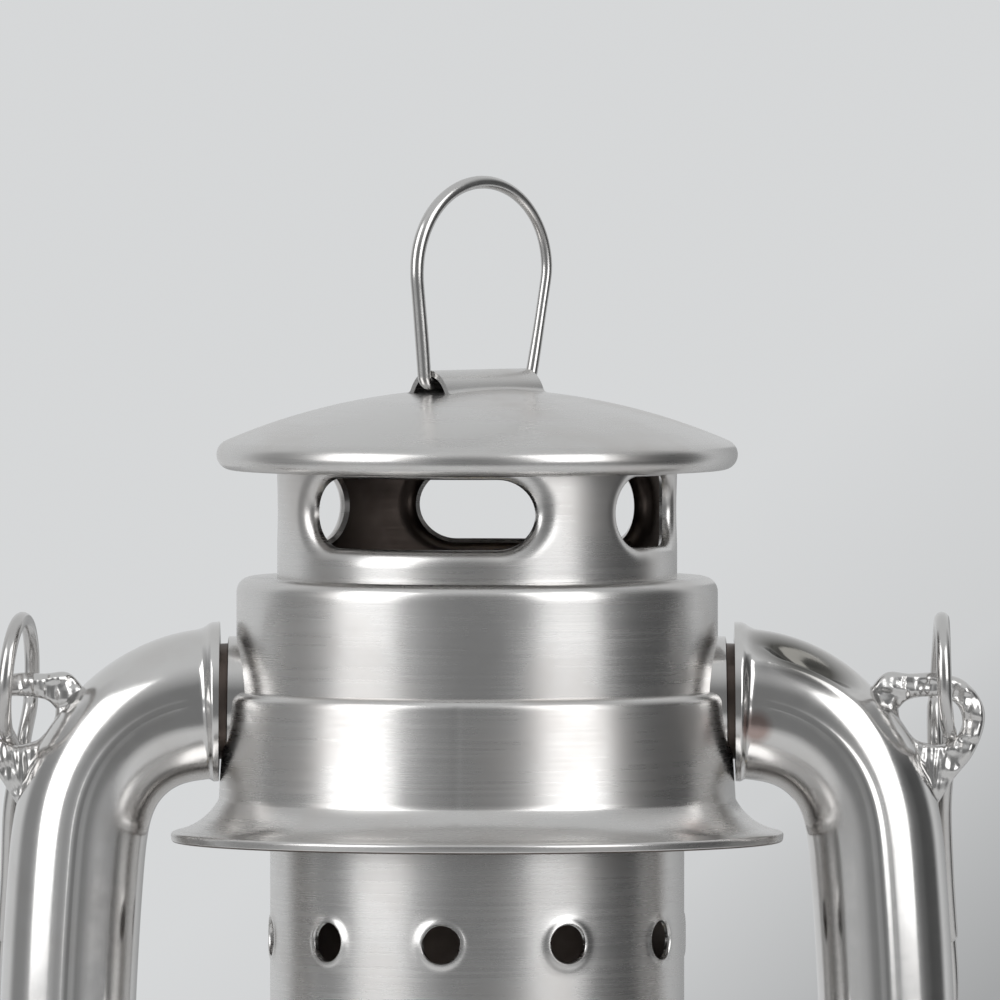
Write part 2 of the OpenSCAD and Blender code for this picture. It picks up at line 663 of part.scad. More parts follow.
module bail_ear() {
    difference() {
        translate([0, ear_t / 2, 0]) rotate([90, 0, 0]) linear_extrude(ear_t) difference() {
            polygon(concat([[ear_root_x, ear_hole_z - ear_lobe_r - 5], [ear_root_x, ear_top], [ear_lobe_x, ear_top]],
                           reverse(arc(ear_lobe_x, ear_hole_z, ear_lobe_r, -45, 90, 12)),
                           [[ear_root_x + 8, ear_hole_z - ear_lobe_r - 5]]));
            translate([ear_lobe_x - 3.4, ear_hole_z]) circle(r = ear_hole_r);
            translate([ear_lobe_x + 1, ear_hole_z]) circle(r = ear_hole_r);
            translate([ear_lobe_x - 3.4, ear_hole_z - ear_hole_r]) square([4.4, 2 * ear_hole_r]);
        }
        tube_bend(tube_top_z - bend_r, -10, 90);
    }
}

module bail_ear_right() color("silver") bail_ear();

module bail_ear_left() color("silver") rotate([0, 0, 180]) bail_ear();

module bail() color("silver") translate([0, 0, bail_z]) rotate([bail_lean, 0, 0]) {
    for (side = [-1, 1]) {
        translate([side * eye_x, 0, 0]) rotate([0, 90, 0]) rotate_extrude()
            translate([eye_r, 0]) circle(d = bail_wire, $fn = 32);
        translate([side * bail_x, 0, -arm_l - tuck])
            cylinder(r = bail_wire / 2 - sleeve, h = arm_l + tuck - eye_r + 0.6, $fn = 32);
        translate([side * tail_x, 0, -eye_r - tail_l])
            cylinder(r = bail_wire / 2 - 2 * sleeve, h = tail_l + 0.2, $fn = 32);
    }
    bent(0, -arm_l, bail_x, 180, 360) circle(d = bail_wire, $fn = 32);
}

fuel_tank();
tank_base();
filler_neck();
filler_cap();
cap_gasket();
burner_collar();
burner_body();
burner_cone();
wick_tube();
wick();
wick_shaft();
wick_wheels();
wick_knob();
air_chamber();
globe_plate();
globe_guard();
globe();
lever_bracket();
lift_lever();
crown_drum();
chimney_tube();
hood();
lift_ring();
crown_spring();
upper_collar();
lower_collar();
side_tube_left();
side_tube_right();
bail_ear_left();
bail_ear_right();
bail();
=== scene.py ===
"""Looks of the hurricane lantern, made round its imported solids. Shapes are worked out in millimetres, and the
scene is in metres."""

import json
import math

import bmesh
import bpy
import numpy as np
from mathutils import Matrix


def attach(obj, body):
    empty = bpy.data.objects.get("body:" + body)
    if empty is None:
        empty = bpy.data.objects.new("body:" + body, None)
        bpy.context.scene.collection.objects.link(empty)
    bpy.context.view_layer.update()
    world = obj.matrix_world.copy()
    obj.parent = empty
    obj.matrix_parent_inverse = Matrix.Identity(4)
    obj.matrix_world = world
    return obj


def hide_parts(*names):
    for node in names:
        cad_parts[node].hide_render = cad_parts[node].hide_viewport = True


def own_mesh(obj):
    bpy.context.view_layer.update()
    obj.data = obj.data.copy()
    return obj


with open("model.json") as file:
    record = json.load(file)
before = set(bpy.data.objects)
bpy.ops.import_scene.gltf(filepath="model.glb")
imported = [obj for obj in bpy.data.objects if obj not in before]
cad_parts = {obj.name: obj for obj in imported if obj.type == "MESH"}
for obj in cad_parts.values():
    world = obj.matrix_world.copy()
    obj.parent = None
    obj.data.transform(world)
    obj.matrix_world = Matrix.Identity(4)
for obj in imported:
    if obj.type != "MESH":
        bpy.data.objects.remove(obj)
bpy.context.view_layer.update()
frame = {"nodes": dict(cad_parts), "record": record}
scene = bpy.context.scene
MM = 0.001
TURN = 2 * math.pi


# Sizes repeated from the solids, in millimetres and degrees

SHEET = 0.6
COLLAR_TOP, SEAM_Z, SKIRT_Z = 199.9, 184.0, 162.7
UPPER_R, LOWER_R, SKIRT_R = 33.7, 35.4, 42.8
FLARE_X, FLARE_Z, FLARE_R = 43.857, 172.807, 8.672
LOWER_SEAM = -94.5
DRUM_R, DRUM_Z, DRUM_TOP, SEAT_R = 29.0, 135.7, 166.7, 31.2
DRUM_HOLE_Z, DRUM_HOLE_R = 149.6, 2.65
# Openings as (direction, half length between the middles of their round ends, reach of their sector each way)
DRUM_HOLES = [(-100 + 36 * i, 0, -18, 18) for i in range(10)]
CHIMNEY_R, CHIMNEY_FOOT, CHIMNEY_TOP = 28.0, 160.7, 221.02
WINDOW_Z, WINDOW_R = 209.3, 4.9
WINDOWS = [(-110, 12.43, -54, 52), (-22, 5.59, -36, 38), (70, 12.43, -54, 52), (158, 5.59, -36, 38)]
WINDOW_LOW, WINDOW_HIGH = 200.1, 218.6
# The opening's edge rolls inward over this width and depth
ROLL_WIDTH, ROLL_DEPTH = 2.4, 1.7
SPRING_R, SPRING_WIRE, SPRING_TURNS, SPRING_LOW, SPRING_HIGH = 30.3, 0.9, 5, 167.2, 198.8
# Travel of the globe plate, and of the crown above it
GLOBE_TRAVEL, CROWN_TRAVEL = 8.0, 16.0
DOME_R, DOME_Z = 89.0, 137.2
RIM_X, RIM_Z, RIM_R, RIM_START = 34.4, 216.99, 2.1, 66
LOOP_TURN = math.radians(42)
TUNNEL_R, TUNNEL_Z, TUNNEL_HALF = 4.4, 224.5, 9.0
FOOT_Z, FOOT_OUT, BOW_Z, LOOP_R, LOOP_WIRE, LOOP_SKEW = 227.0, 9.9, 242.9, 12.2, 1.8, 0.9
TUBE_R, LIP_R, BEND_R, BEND_X, TUBE_LEAN = 9.5, 11.2, 18.2, 37.5, 5
TUBE_TOP, TUBE_MID, TUBE_LOW = 182.5, 115.5, 48.5
BOW_X, BOW_R = -520.287, 578.117
LIP_X, STUB_TOP_X, STUB_LOW_X = 36.4, 32.2, 28.5
GROOVE, LIP_TILT = 1.0, 0.06
BEAD_SIDE, BEAD_RISE, BEAD_WIDTH = math.radians(88), 0.24, 0.06
BAIL_Z, BAIL_X, BAIL_WIRE, EYE_R, ARM_L, TAIL_L = 185.9, 65.1, 2.1, 8.0, 64.0, 31.0
BAIL_LEAN = math.radians(21.2544)
# Eyes of the bail: places of its arm and tail, and sideways slope of the eye
RIGHT_EYE, LEFT_EYE = (64.1, 66.1, 0.0), (63.6, 65.0, -0.2)
GLOBE_Z, GLOBE_H, GLOBE_R, GLOBE_FOOT_R, GLOBE_TOP_R, GLASS, BELLY = 59.9, 75.5, 38.5, 27.0, 26.5, 2.0, 0.38
TANK_R, TANK_H, TANK_WALL, SHOULDER_R, SEAM_R, MOUTH_R = 55.0, 38.0, 20.0, 14.0, 2.2, 15.0
# Corner between the tank's shoulder and its top plate, and its rounding
PLATE_R, PLATE_ROUND = 38.2, 9.0
CHAMBER_R, CHAMBER_FOOT_R, CHAMBER_IN, CHAMBER_TOP = 30.0, 32.0, 24.0, 59.0
FILLER_AT, NECK_R = (-24.09, -34.404), 7.5
GASKET_Z, GASKET_T, GASKET_BORE, GASKET_ROUND = 44.25, 1.2, 5.1, 0.35
CAP_R, CAP_BORE, CAP_FOOT, CAP_ROOF, CAP_TOP, CAP_FLUTES = 9.4, 7.8, 38.6, 45.5, 47.1, 20
KNOB_AT, KNOB_R, KNOB_T, KNOB_FLUTES = (5.5, -42, 48.5), 7.5, 5.0, 24
LEVER_AT, LEVER_WIRE = (52.5, -14, 61.8), 2.4
LEVER_IN, LEVER_DROP, LEVER_OUT, LEVER_RISE = 16.395, 14.121, 26.0, 30.0
HUB_R, HUB_T, PIN_R, PADDLE_R, PADDLE_HALF = 2.7, 3.0, 1.2, 6.0, 5.0
WICK_W, WICK_T, WICK_FOOT, WICK_TOP = 15.0, 2.4, 11.0, 67.2
# Dents of a tube as (distance from the lip, side, length, width, depth). Side 0 is the outside of the bend,
# and 90 the back
RIGHT_DENTS = [(7.5, 332, 4.6, 13, -3.0), (8.5, 309, 7.5, 7, 0.6),
               (3.0, 322, 1.0, 14, 0.4), (14.5, 328, 1.6, 14, 0.4)]
LEFT_DENTS = [(8.0, 20, 4.0, 30, -0.3)]
# Painted reflections on the right tube: a dark one in the dent and a warm brown one under the lip, as (place,
# lean, reach, colour, strongest share)
TUBE_PAINTED_REFLECTIONS = [((45.2, -3.5, 187.9), math.radians(25), (9.5, 9.0, 3.1), (0.075, 0.072, 0.063), 0.92),
               ((39.0, -9.3, 179.1), 0.0, (2.6, 4.0, 2.8), (0.40, 0.28, 0.25), 0.8)]
# Outlines of an ear, as knots of a smooth closed line
EAR_OUTER = [(54.5, 183.6), (57.2, 186.4), (60.6, 186.3), (64.2, 186.4), (68.2, 185.3), (70.7, 182.2),
             (71.0, 179.0), (69.4, 174.9), (66.8, 171.6), (64.6, 168.2), (63.2, 166.6), (61.4, 168.2),
             (58.2, 173.2), (55.2, 178.6), (54.5, 183.6)]
EAR_INNER = [(59.0, 181.4), (60.0, 182.4), (61.4, 182.9), (63.4, 183.1), (65.6, 183.0), (67.3, 181.7),
             (67.9, 179.6), (67.2, 177.6), (65.7, 176.7), (64.2, 176.3), (62.7, 176.6), (61.4, 177.1),
             (60.2, 178.4), (59.2, 180.0), (59.0, 181.4)]
# Phases of the cast lumps on an ear
RIGHT_LUMPS, LEFT_LUMPS = (0.4, 1.9), (2.2, 0.7)


# Camera, light and floor

VIEW_WIDTH = 140 * MM
VIEW_CENTRE = np.array([3.2, 0, 210.6]) * MM
VIEW_DISTANCE = 4.0
VIEW_ELEVATION = math.radians(1.8)
SENSOR = 36
# Studio round the lantern as (angle from the front in degrees, left negative, brightness): backdrop, dark
# sides, and dim walls between the softboxes
STUDIO_RING = [(-180, 0.67), (-126, 0.67), (-106, 0.27), (-86, 0.27), (-70, 0.46), (-34, 0.42), (-14, 0.21),
               (10, 0.20), (28, 0.36), (60, 0.30), (76, 0.13), (88, 0.08), (110, 0.09), (128, 0.67),
               (180, 0.67)]
# The backdrop darkens to the lower right, along slope * x - z of the direction, at first slowly and then
# faster. Each row is (strength at its start, at its end, where it starts, where it ends)
FADE_SLOPE = 0.8
FADE = [(1.02, 0.93, 0.0375, 0.0493), (1.0, 0.6, 0.0498, 0.0625)]
# Softboxes as (name, angle from the front in degrees, width, height, distance, centre height, brightness)
SOFTBOXES = [("softbox_left", -55, 1.05, 1.5, 1.5, 0.83, 1.9),
             ("softbox_right", 45, 1.0, 1.5, 1.5, 0.83, 1.9)]


def aim(thing, place, target):
    """Puts a camera or lamp at place, its -Z axis towards target and its +Y axis upwards."""
    back = np.array(place, float) - np.array(target, float)
    back /= np.linalg.norm(back)
    side = np.cross((0, 0, 1), back)
    side /= np.linalg.norm(side)
    turn = np.eye(4)
    turn[:3, 0], turn[:3, 1], turn[:3, 2], turn[:3, 3] = side, np.cross(back, side), back, place
    thing.matrix_world = Matrix(turn)


def add_camera():
    lens = bpy.data.cameras.new("camera")
    lens.sensor_width = SENSOR
    lens.lens = SENSOR * VIEW_DISTANCE / VIEW_WIDTH
    camera = bpy.data.objects.new("camera", lens)
    scene.collection.objects.link(camera)
    away = np.array([0, -math.cos(VIEW_ELEVATION), math.sin(VIEW_ELEVATION)])
    aim(camera, VIEW_CENTRE + VIEW_DISTANCE * away, VIEW_CENTRE)
    scene.camera = camera


def add_softbox(name, angle, width, height, distance, centre, brightness):
    """Area lamp whose power is pi times its area times the brightness it shows in a mirror."""
    lamp = bpy.data.lights.new(name, "AREA")
    lamp.shape = "RECTANGLE"
    lamp.size, lamp.size_y = width, height
    lamp.energy = math.pi * width * height * brightness
    box = bpy.data.objects.new(name, lamp)
    scene.collection.objects.link(box)
    angle = math.radians(angle)
    aim(box, (distance * math.sin(angle), -distance * math.cos(angle), centre), (0, 0, 0.2))
    box.visible_camera = False


class Nodes:
    """Short way to add nodes and links to one node tree."""

    def __init__(self, tree):
        self.tree = tree

    def add(self, kind, **values):
        """Adds a node. Values named after an input go there, as a number or a link. The rest are settings."""
        made = self.tree.nodes.new(kind)
        settings = {k: v for k, v in values.items() if hasattr(made, k)}
        for name, value in settings.items():
            setattr(made, name, value)
        for name, value in values.items():
            if name not in settings:
                self.put(made, name, value)
        return made

    def put(self, node, name, value):
        """Sets or links an input, found by its number (in0, in1) or by its name with _ for a blank."""
        numbered = name[:2] == "in" and name[2:].isdigit()
        socket = node.inputs[int(name[2:]) if numbered else name.replace("_", " ")]
        if isinstance(value, bpy.types.NodeSocket):
            self.tree.links.new(value, socket)
        else:
            socket.default_value = value

    def math(self, operation, a, b=0.0, c=0.0):
        return self.add("ShaderNodeMath", operation=operation, in0=a, in1=b, in2=c).outputs[0]

    def scaled(self, vector, scale):
        """The vector stretched by three factors."""
        return self.add("ShaderNodeVectorMath", operation="MULTIPLY", in0=vector, in1=scale).outputs[0]

    def noise(self, vector, scale, detail=2.0, rough=0.5):
        made = self.add("ShaderNodeTexNoise", Vector=vector, Scale=scale, Detail=detail, Roughness=rough)
        return made.outputs[0]

    def span(self, value, low, high, start=0.0, end=1.0):
        """The value carried from the range start to end into the range low to high, and held there."""
        made = self.add("ShaderNodeMapRange", Value=value, From_Min=start, From_Max=end,
                        To_Min=low, To_Max=high)
        return made.outputs[0]

    def mix(self, share, a, b):
        """Colour a turned into colour b by the share. Each is a link or a constant."""
        made = self.add("ShaderNodeMix", data_type="RGBA")
        for socket, value in ((made.inputs[0], share), (made.inputs[6], a), (made.inputs[7], b)):
            if isinstance(value, bpy.types.NodeSocket):
                self.tree.links.new(value, socket)
            else:
                socket.default_value = value if isinstance(value, float) else (*value, 1.0)
        return made.outputs[2]


def add_world():
    """Studio seen in the metal: a pale backdrop behind, dark sides, and a dark gap at the camera between the
    softboxes."""
    world = bpy.data.worlds.new("studio")
    world.use_nodes = True
    scene.world = world
    tree = world.node_tree
    tree.nodes.clear()
    n = Nodes(tree)
    where = n.add("ShaderNodeSeparateXYZ", Vector=n.add("ShaderNodeTexCoord").outputs["Generated"])
    x, y, z = where.outputs
    angle = n.math("ARCTAN2", x, n.math("MULTIPLY", y, -1.0))
    ring = n.add("ShaderNodeValToRGB", Fac=n.math("MULTIPLY_ADD", angle, 1 / TURN, 0.5))
    ramp = ring.color_ramp
    ramp.interpolation = "EASE"
    while len(ramp.elements) < len(STUDIO_RING):
        ramp.elements.new(1.0)
    for stop, (degrees, level) in zip(ramp.elements, STUDIO_RING):
        stop.position = degrees / 360 + 0.5
        stop.color = (0.985 * level, level, 1.01 * level, 1)
    high = n.span(z, 0.0, 1.0, 0.35, 0.85)
    colour = n.mix(high, ring.outputs["Color"], (0.62, 0.63, 0.635))
    down = n.math("SUBTRACT", n.math("MULTIPLY", x, FADE_SLOPE), z)
    slow, fast = (n.span(down, *row) for row in FADE)
    fade = n.math("MULTIPLY", slow, fast)
    behind = n.span(y, 0.0, 1.0, 0.6, 0.95)
    shade = n.math("ADD", n.math("MULTIPLY", n.math("SUBTRACT", fade, 1.0), behind), 1.0)
    light = n.add("ShaderNodeBackground", Color=colour, Strength=shade)
    n.add("ShaderNodeOutputWorld", Surface=light.outputs[0])


def add_floor():
    """Pale round floor that fades out at its edge."""
    rings, spokes, reach = 24, 96, 0.55
    r, a = np.meshgrid(np.linspace(0.0, reach, rings), np.arange(spokes) * TURN / spokes, indexing="ij")
    points = np.stack([r * np.cos(a), r * np.sin(a), np.zeros_like(r)], -1).reshape(-1, 3)
    floor = raw_mesh("floor", points, grid_faces(rings, spokes, wrap=True))
    paint = bpy.data.materials.new("floor_paint")
    paint.use_nodes = True
    tree = paint.node_tree
    tree.nodes.clear()
    n = Nodes(tree)
    at = n.add("ShaderNodeTexCoord").outputs["Object"]
    far = n.add("ShaderNodeVectorMath", operation="LENGTH", in0=at).outputs["Value"]
    tone = n.span(n.noise(at, 40.0), 0.76, 0.80)
    body = n.add("ShaderNodeBsdfPrincipled", Roughness=0.7, Alpha=n.span(far, 1.0, 0.0, 0.3, reach))
    n.put(body, "Base Color", tone)
    n.add("ShaderNodeOutputMaterial", Surface=body.outputs[0])
    floor.data.materials.append(paint)


# Meshes: every shape is an array of points in millimetres, made by a formula

def grid_faces(rows, columns, wrap=False):
    """Quads of a grid of points stored row by row. With wrap, each row closes into a ring."""
    i, j = np.meshgrid(np.arange(rows - 1), np.arange(columns if wrap else columns - 1), indexing="ij")
    k = (j + 1) % columns
    low, high = i * columns, (i + 1) * columns
    return np.stack([low + j, low + k, high + k, high + j], -1).reshape(-1, 4)


def facing_out(points, faces):
    """The faces, turned over if the volume that they enclose comes out negative."""
    a, b, c, d = (points[faces[:, k]] for k in range(4))
    volume = np.sum(a * np.cross(b, c)) + np.sum(a * np.cross(c, d))
    return faces if volume > 0 else faces[:, ::-1]


def shell(grid, close_rows=False, skip=None):
    """Closed shell from a grid of points (rows, columns, 3) whose columns run round. skip masks quads that
    are left out."""
    if close_rows:
        grid = np.concatenate([grid, grid[:1]])
    rows, columns = grid.shape[:2]
    faces = grid_faces(rows, columns, wrap=True)
    if skip is not None:
        faces = faces[~skip.reshape(-1)]
    return grid.reshape(-1, 3), faces


def raw_mesh(name, points, faces):
    """Object with a mesh of the points, in metres, and faces."""
    data = bpy.data.meshes.new(name)
    data.from_pydata(np.asarray(points).tolist(), [], np.asarray(faces).tolist())
    piece = bpy.data.objects.new(name, data)
    scene.collection.objects.link(piece)
    return piece


def make_piece(name, shells, body, nodes, finish, sharp=38, inside=None):
    """Piece of closed shells that stands for the nodes and rides on the body. Doubled points are merged,
    edges sharper than the angle stay sharp, and faces marked in a shell's third entry take the second
    finish."""
    points, faces, marks, count = [], [], [], 0
    for part in shells:
        spots, quads = part[0], facing_out(part[0], part[1])
        points.append(spots * MM)
        faces.append(quads + count)
        marks.append(part[2] if inside and len(part) > 2 else np.zeros(len(quads), np.int32))
        count += len(spots)
    piece = raw_mesh(name, np.concatenate(points), np.concatenate(faces))
    data = piece.data
    data.polygons.foreach_set("material_index", np.concatenate(marks).astype(np.int32))
    mesh = bmesh.new()
    mesh.from_mesh(data)
    bmesh.ops.remove_doubles(mesh, verts=mesh.verts, dist=1e-6)
    mesh.to_mesh(data)
    mesh.free()
    data.polygons.foreach_set("use_smooth", np.ones(len(data.polygons), bool))
    data.set_sharp_from_angle(angle=math.radians(sharp))
    data.materials.append(finishes[finish])
    if inside:
        data.materials.append(finishes[inside])
    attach(piece, body)
    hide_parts(*nodes)
    return piece


def unit(vector):
    return vector / np.linalg.norm(vector, axis=-1, keepdims=True)


def line_of(*corners, step=6.0):
    """Line through corners (a, b) or (a, b, radius). A corner with a radius becomes the arc that touches both
    sides."""
    spots = [np.array(corner[:2], float) for corner in corners]
    runs = []
    for k, corner in enumerate(corners):
        if len(corner) < 3:
            runs.append(spots[k][None])
            continue
        back, on = unit(spots[k - 1] - spots[k]), unit(spots[k + 1] - spots[k])
        half = math.acos(np.clip(back @ on, -1, 1)) / 2
        centre = spots[k] + unit(back + on) * corner[2] / math.sin(half)
        start = spots[k] + back * corner[2] / math.tan(half) - centre
        sweep = math.pi - 2 * half
        turn = np.linspace(0, sweep, max(3, int(math.degrees(sweep) / step) + 1))
        turn *= -np.sign(back[0] * on[1] - back[1] * on[0])
        runs.append(centre + np.stack([start[0] * np.cos(turn) - start[1] * np.sin(turn),
                                       start[0] * np.sin(turn) + start[1] * np.cos(turn)], -1))
    return np.concatenate(runs)


def arc_of(a, b, radius, start, end, count):
    """Points on an arc about (a, b), by angles in degrees."""
    turn = np.radians(np.linspace(start, end, count))
    return np.stack([a + radius * np.cos(turn), b + radius * np.sin(turn)], -1)


def even(line, gap):
    """The line cut again into steps of about the gap, by straight interpolation along its length."""
    far = np.concatenate([[0], np.cumsum(np.linalg.norm(np.diff(line, axis=0), axis=1))])
    at = np.linspace(0, far[-1], max(2, int(far[-1] / gap) + 1))
    return np.stack([np.interp(at, far, line[:, k]) for k in range(line.shape[1])], -1)


def folded(line, thickness):
    """Closed outline of a sheet: the line, then the way back, set off to the line's left by the thickness."""
    along = unit(np.gradient(line, axis=0))
    left = np.stack([-along[:, 1], along[:, 0]], -1)
    return np.concatenate([line, (line + thickness * left)[::-1]])


def turned(outline, spokes=180, relief=None, closed=True):
    """Outline of (radius, height) carried round the Z axis: x = r cos a, y = r sin a. What relief(a, r, z)
    gives is added to r."""
    a = np.arange(spokes) * TURN / spokes
    r, z = outline[:, :1], outline[:, 1:]
    grown = r + (relief(a[None], r, z) if relief else 0 * a[None])
    return shell(np.stack([grown * np.cos(a), grown * np.sin(a), z + 0 * a], -1), close_rows=closed)


def rolled(path, radius, normal, sides=24):
    """Wire along a path of points: circles of the radius (a number, or one per point) in the plane of the
    path's normal and the direction across it. Each end is closed by a half ball."""
    radius = np.broadcast_to(np.asarray(radius, float), len(path))
    first, last = unit(path[0] - path[1]), unit(path[-1] - path[-2])
    lean = np.radians(np.linspace(90, 15, 6))
    head = path[0] + radius[0] * np.sin(lean)[:, None] * first
    tail = path[-1] + radius[-1] * np.sin(lean)[::-1, None] * last
    size = np.concatenate([radius[0] * np.cos(lean), radius, radius[-1] * np.cos(lean)[::-1]])
    normal = np.broadcast_to(normal, path.shape)
    before, after = (np.repeat(end, len(lean), 0) for end in (normal[:1], normal[-1:]))
    normal = np.concatenate([before, normal, after])
    path = np.concatenate([head, path, tail])
    along = unit(np.gradient(path, axis=0))
    across = unit(np.cross(normal, along))
    over = np.cross(along, across)
    b = np.arange(sides) * TURN / sides
    ring = np.cos(b)[None, :, None] * across[:, None] + np.sin(b)[None, :, None] * over[:, None]
    return shell(path[:, None] + size[:, None, None] * ring)


def upright(line, turn):
    """Points (a, b) put in an upright plane through the axis, turned about Z: a runs outward and b up."""
    return np.stack([line[:, 0] * math.cos(turn), line[:, 0] * math.sin(turn), line[:, 1]], -1)


def pierced(radius, wall, low, high, openings, hole_z, hole_r, edge, count):
    """Ring of a tube's wall with an opening in each sector. A sector is a grid: its columns go round the
    opening, matched point by point with the sector's own border, and its rows go from the border to the
    opening, through the edge profile of (offset from the clear opening, depth below the outer skin), and back
    to the border on the inner skin. An opening with a half length of 0 is round."""
    points, faces, marks, stored = [], [], [], 0
    for centre, half, left, right in openings:
        spread = 0 if half else 45
        side = np.radians(np.linspace(spread - 90, 90 - spread, count))
        cap = np.radians(np.linspace(90 - spread, 90 + spread, count))[1:-1]
        slide = np.linspace(half, -half, count)[1:-1]
        # Right end, top, left end and bottom of the opening, as a middle and a direction outward
        turn = np.concatenate([side, cap, side + math.pi, cap + math.pi])
        mid = np.concatenate([np.full(count, half), slide, np.full(count, -half), -slide])
        rise, span = np.linspace(low, high, count), np.radians(np.linspace(right, left, count))
        first, last = np.full(count, span[0]), np.full(count, span[-1])
        border_a = np.concatenate([first, span[1:-1], last, span[-2:0:-1]])
        border_z = np.concatenate([rise, np.full(count - 2, high), rise[::-1], np.full(count - 2, low)])
        offset, depth = edge[:, :1], edge[:, 1:]
        ring_a = np.arcsin((mid + (hole_r + offset) * np.cos(turn)) / radius)
        ring_z = hole_z + (hole_r + offset) * np.sin(turn)
        share = np.linspace(0, 1, 9)[:-1, None] ** 0.8
        front_a = border_a + (ring_a[0] - border_a) * share
        front_z = border_z + (ring_z[0] - border_z) * share
        back = share[::-1]
        back_a = border_a + (ring_a[-1] - border_a) * back
        back_z = border_z + (ring_z[-1] - border_z) * back
        a = np.concatenate([front_a, ring_a, back_a]) + math.radians(centre)
        r = radius - np.concatenate([0 * share, depth, 0 * share + wall]) + 0 * a
        rows, columns = a.shape
        # The last row of quads closes the wall's top and foot; at its sides the next sector goes on
        skip = np.zeros((rows, columns), bool)
        ends = np.isclose(border_z, low) | np.isclose(border_z, high)
        skip[-1] = ~(ends & np.roll(ends, -1) & np.isclose(border_z, np.roll(border_z, -1)))
        grid = np.stack([r * np.cos(a), r * np.sin(a), np.concatenate([front_z, ring_z, back_z])], -1)
        spots, quads = shell(grid, close_rows=True, skip=skip)
        within = np.arange(rows) >= len(share) + np.argmax(edge[:, 1])
        points.append(spots)
        faces.append(quads + stored)
        marks.append(np.repeat(within.astype(np.int32), columns)[~skip.reshape(-1)])
        stored += len(spots)
    return np.concatenate(points), np.concatenate(faces), np.concatenate(marks)


def slab(top, under):
    """Closed shell between two grids of points of one size: both skins, and strips round their border."""
    rows, columns = top.shape[:2]
    count = rows * columns
    skin = grid_faces(rows, columns)
    index = np.arange(count).reshape(rows, columns)
    border = np.concatenate([index[0, :-1], index[:-1, -1], index[-1, :0:-1], index[:0:-1, 0]])
    on = np.roll(border, -1)
    sides = np.stack([on, border, border + count, on + count], -1)
    faces = np.concatenate([skin, skin[:, ::-1] + count, sides])
    return np.concatenate([top.reshape(-1, 3), under.reshape(-1, 3)]), faces


def flowing(knots, count):
    """Smooth line through the knots: each span is a cubic with slopes (next - previous) / 2 at its ends."""
    knots = np.asarray(knots, float)
    full = np.concatenate([2 * knots[:1] - knots[1:2], knots, 2 * knots[-1:] - knots[-2:-1]])
    p0, p1, p2, p3 = (full[k:len(full) - 3 + k, None] for k in range(4))
    t = np.linspace(0, 1, count, endpoint=False)[None, :, None]
    line = p1 + 0.5 * t * (p2 - p0 + t * (2 * p0 - 5 * p1 + 4 * p2 - p3 + t * (3 * p1 - p0 - 3 * p2 + p3)))
    return np.concatenate([line.reshape(-1, knots.shape[1]), knots[-1:]])


def bump_at(value, middle, width):
    """Bell curve: 1 at the middle, falling off over the width."""
    return np.exp(-((value - middle) / width) ** 2)


# Materials

def new_group(name, inputs, outputs):
    """Shader node group with inputs (name, kind, value) and outputs (name, kind), and both its end nodes."""
    tree = bpy.data.node_groups.new(name, "ShaderNodeTree")
    for label, kind, value in inputs:
        tree.interface.new_socket(label, in_out="INPUT", socket_type=kind).default_value = value
    for label, kind in outputs:
        tree.interface.new_socket(label, in_out="OUTPUT", socket_type=kind)
    return tree, tree.nodes.new("NodeGroupInput"), tree.nodes.new("NodeGroupOutput")


def metal_marks_group():
    """Marks of worked metal: fine grain one way, soft waves of the sheet, and smudges from handling."""
    number, colour, vector = "NodeSocketFloat", "NodeSocketColor", "NodeSocketVector"
    tree, start, end = new_group(
        "metal_marks",
        [("Grain Stretch", vector, (30, 30, 2200)), ("Clean", colour, (0.7, 0.7, 0.7, 1)),
         ("Stain", colour, (0.5, 0.45, 0.4, 1)), ("Stain Share", number, 0.35), ("Gloss Low", number, 0.16),
         ("Gloss High", number, 0.3), ("Wave", number, 0.5)],
        [("Color", colour), ("Roughness", number), ("Height", number)])
    n = Nodes(tree)
    at = n.add("ShaderNodeTexCoord").outputs["Object"]
    grain = n.noise(n.scaled(at, start.outputs["Grain Stretch"]), 1.0, 3.0, 0.6)
    smudge = n.noise(at, 55.0, 4.0, 0.6)
    waves = n.noise(at, 70.0, 1.0, 0.4)
    stained = n.math("MULTIPLY", n.span(smudge, 0.0, 1.0, 0.48, 0.72), start.outputs["Stain Share"])
    tint = n.mix(stained, start.outputs["Clean"], start.outputs["Stain"])
    gloss = n.math("ADD", n.math("MULTIPLY", grain, 0.45), n.math("MULTIPLY", smudge, 0.55))
    width = n.math("SUBTRACT", start.outputs["Gloss High"], start.outputs["Gloss Low"])
    rough = n.math("MULTIPLY_ADD", n.span(gloss, 0.0, 1.0, 0.3, 0.7), width, start.outputs["Gloss Low"])
    height = n.math("ADD", n.math("MULTIPLY", grain, 0.012), n.math("MULTIPLY", waves, start.outputs["Wave"]))
    for label, value in (("Color", tint), ("Roughness", rough), ("Height", height)):
        tree.links.new(value, end.inputs[label])
    return tree


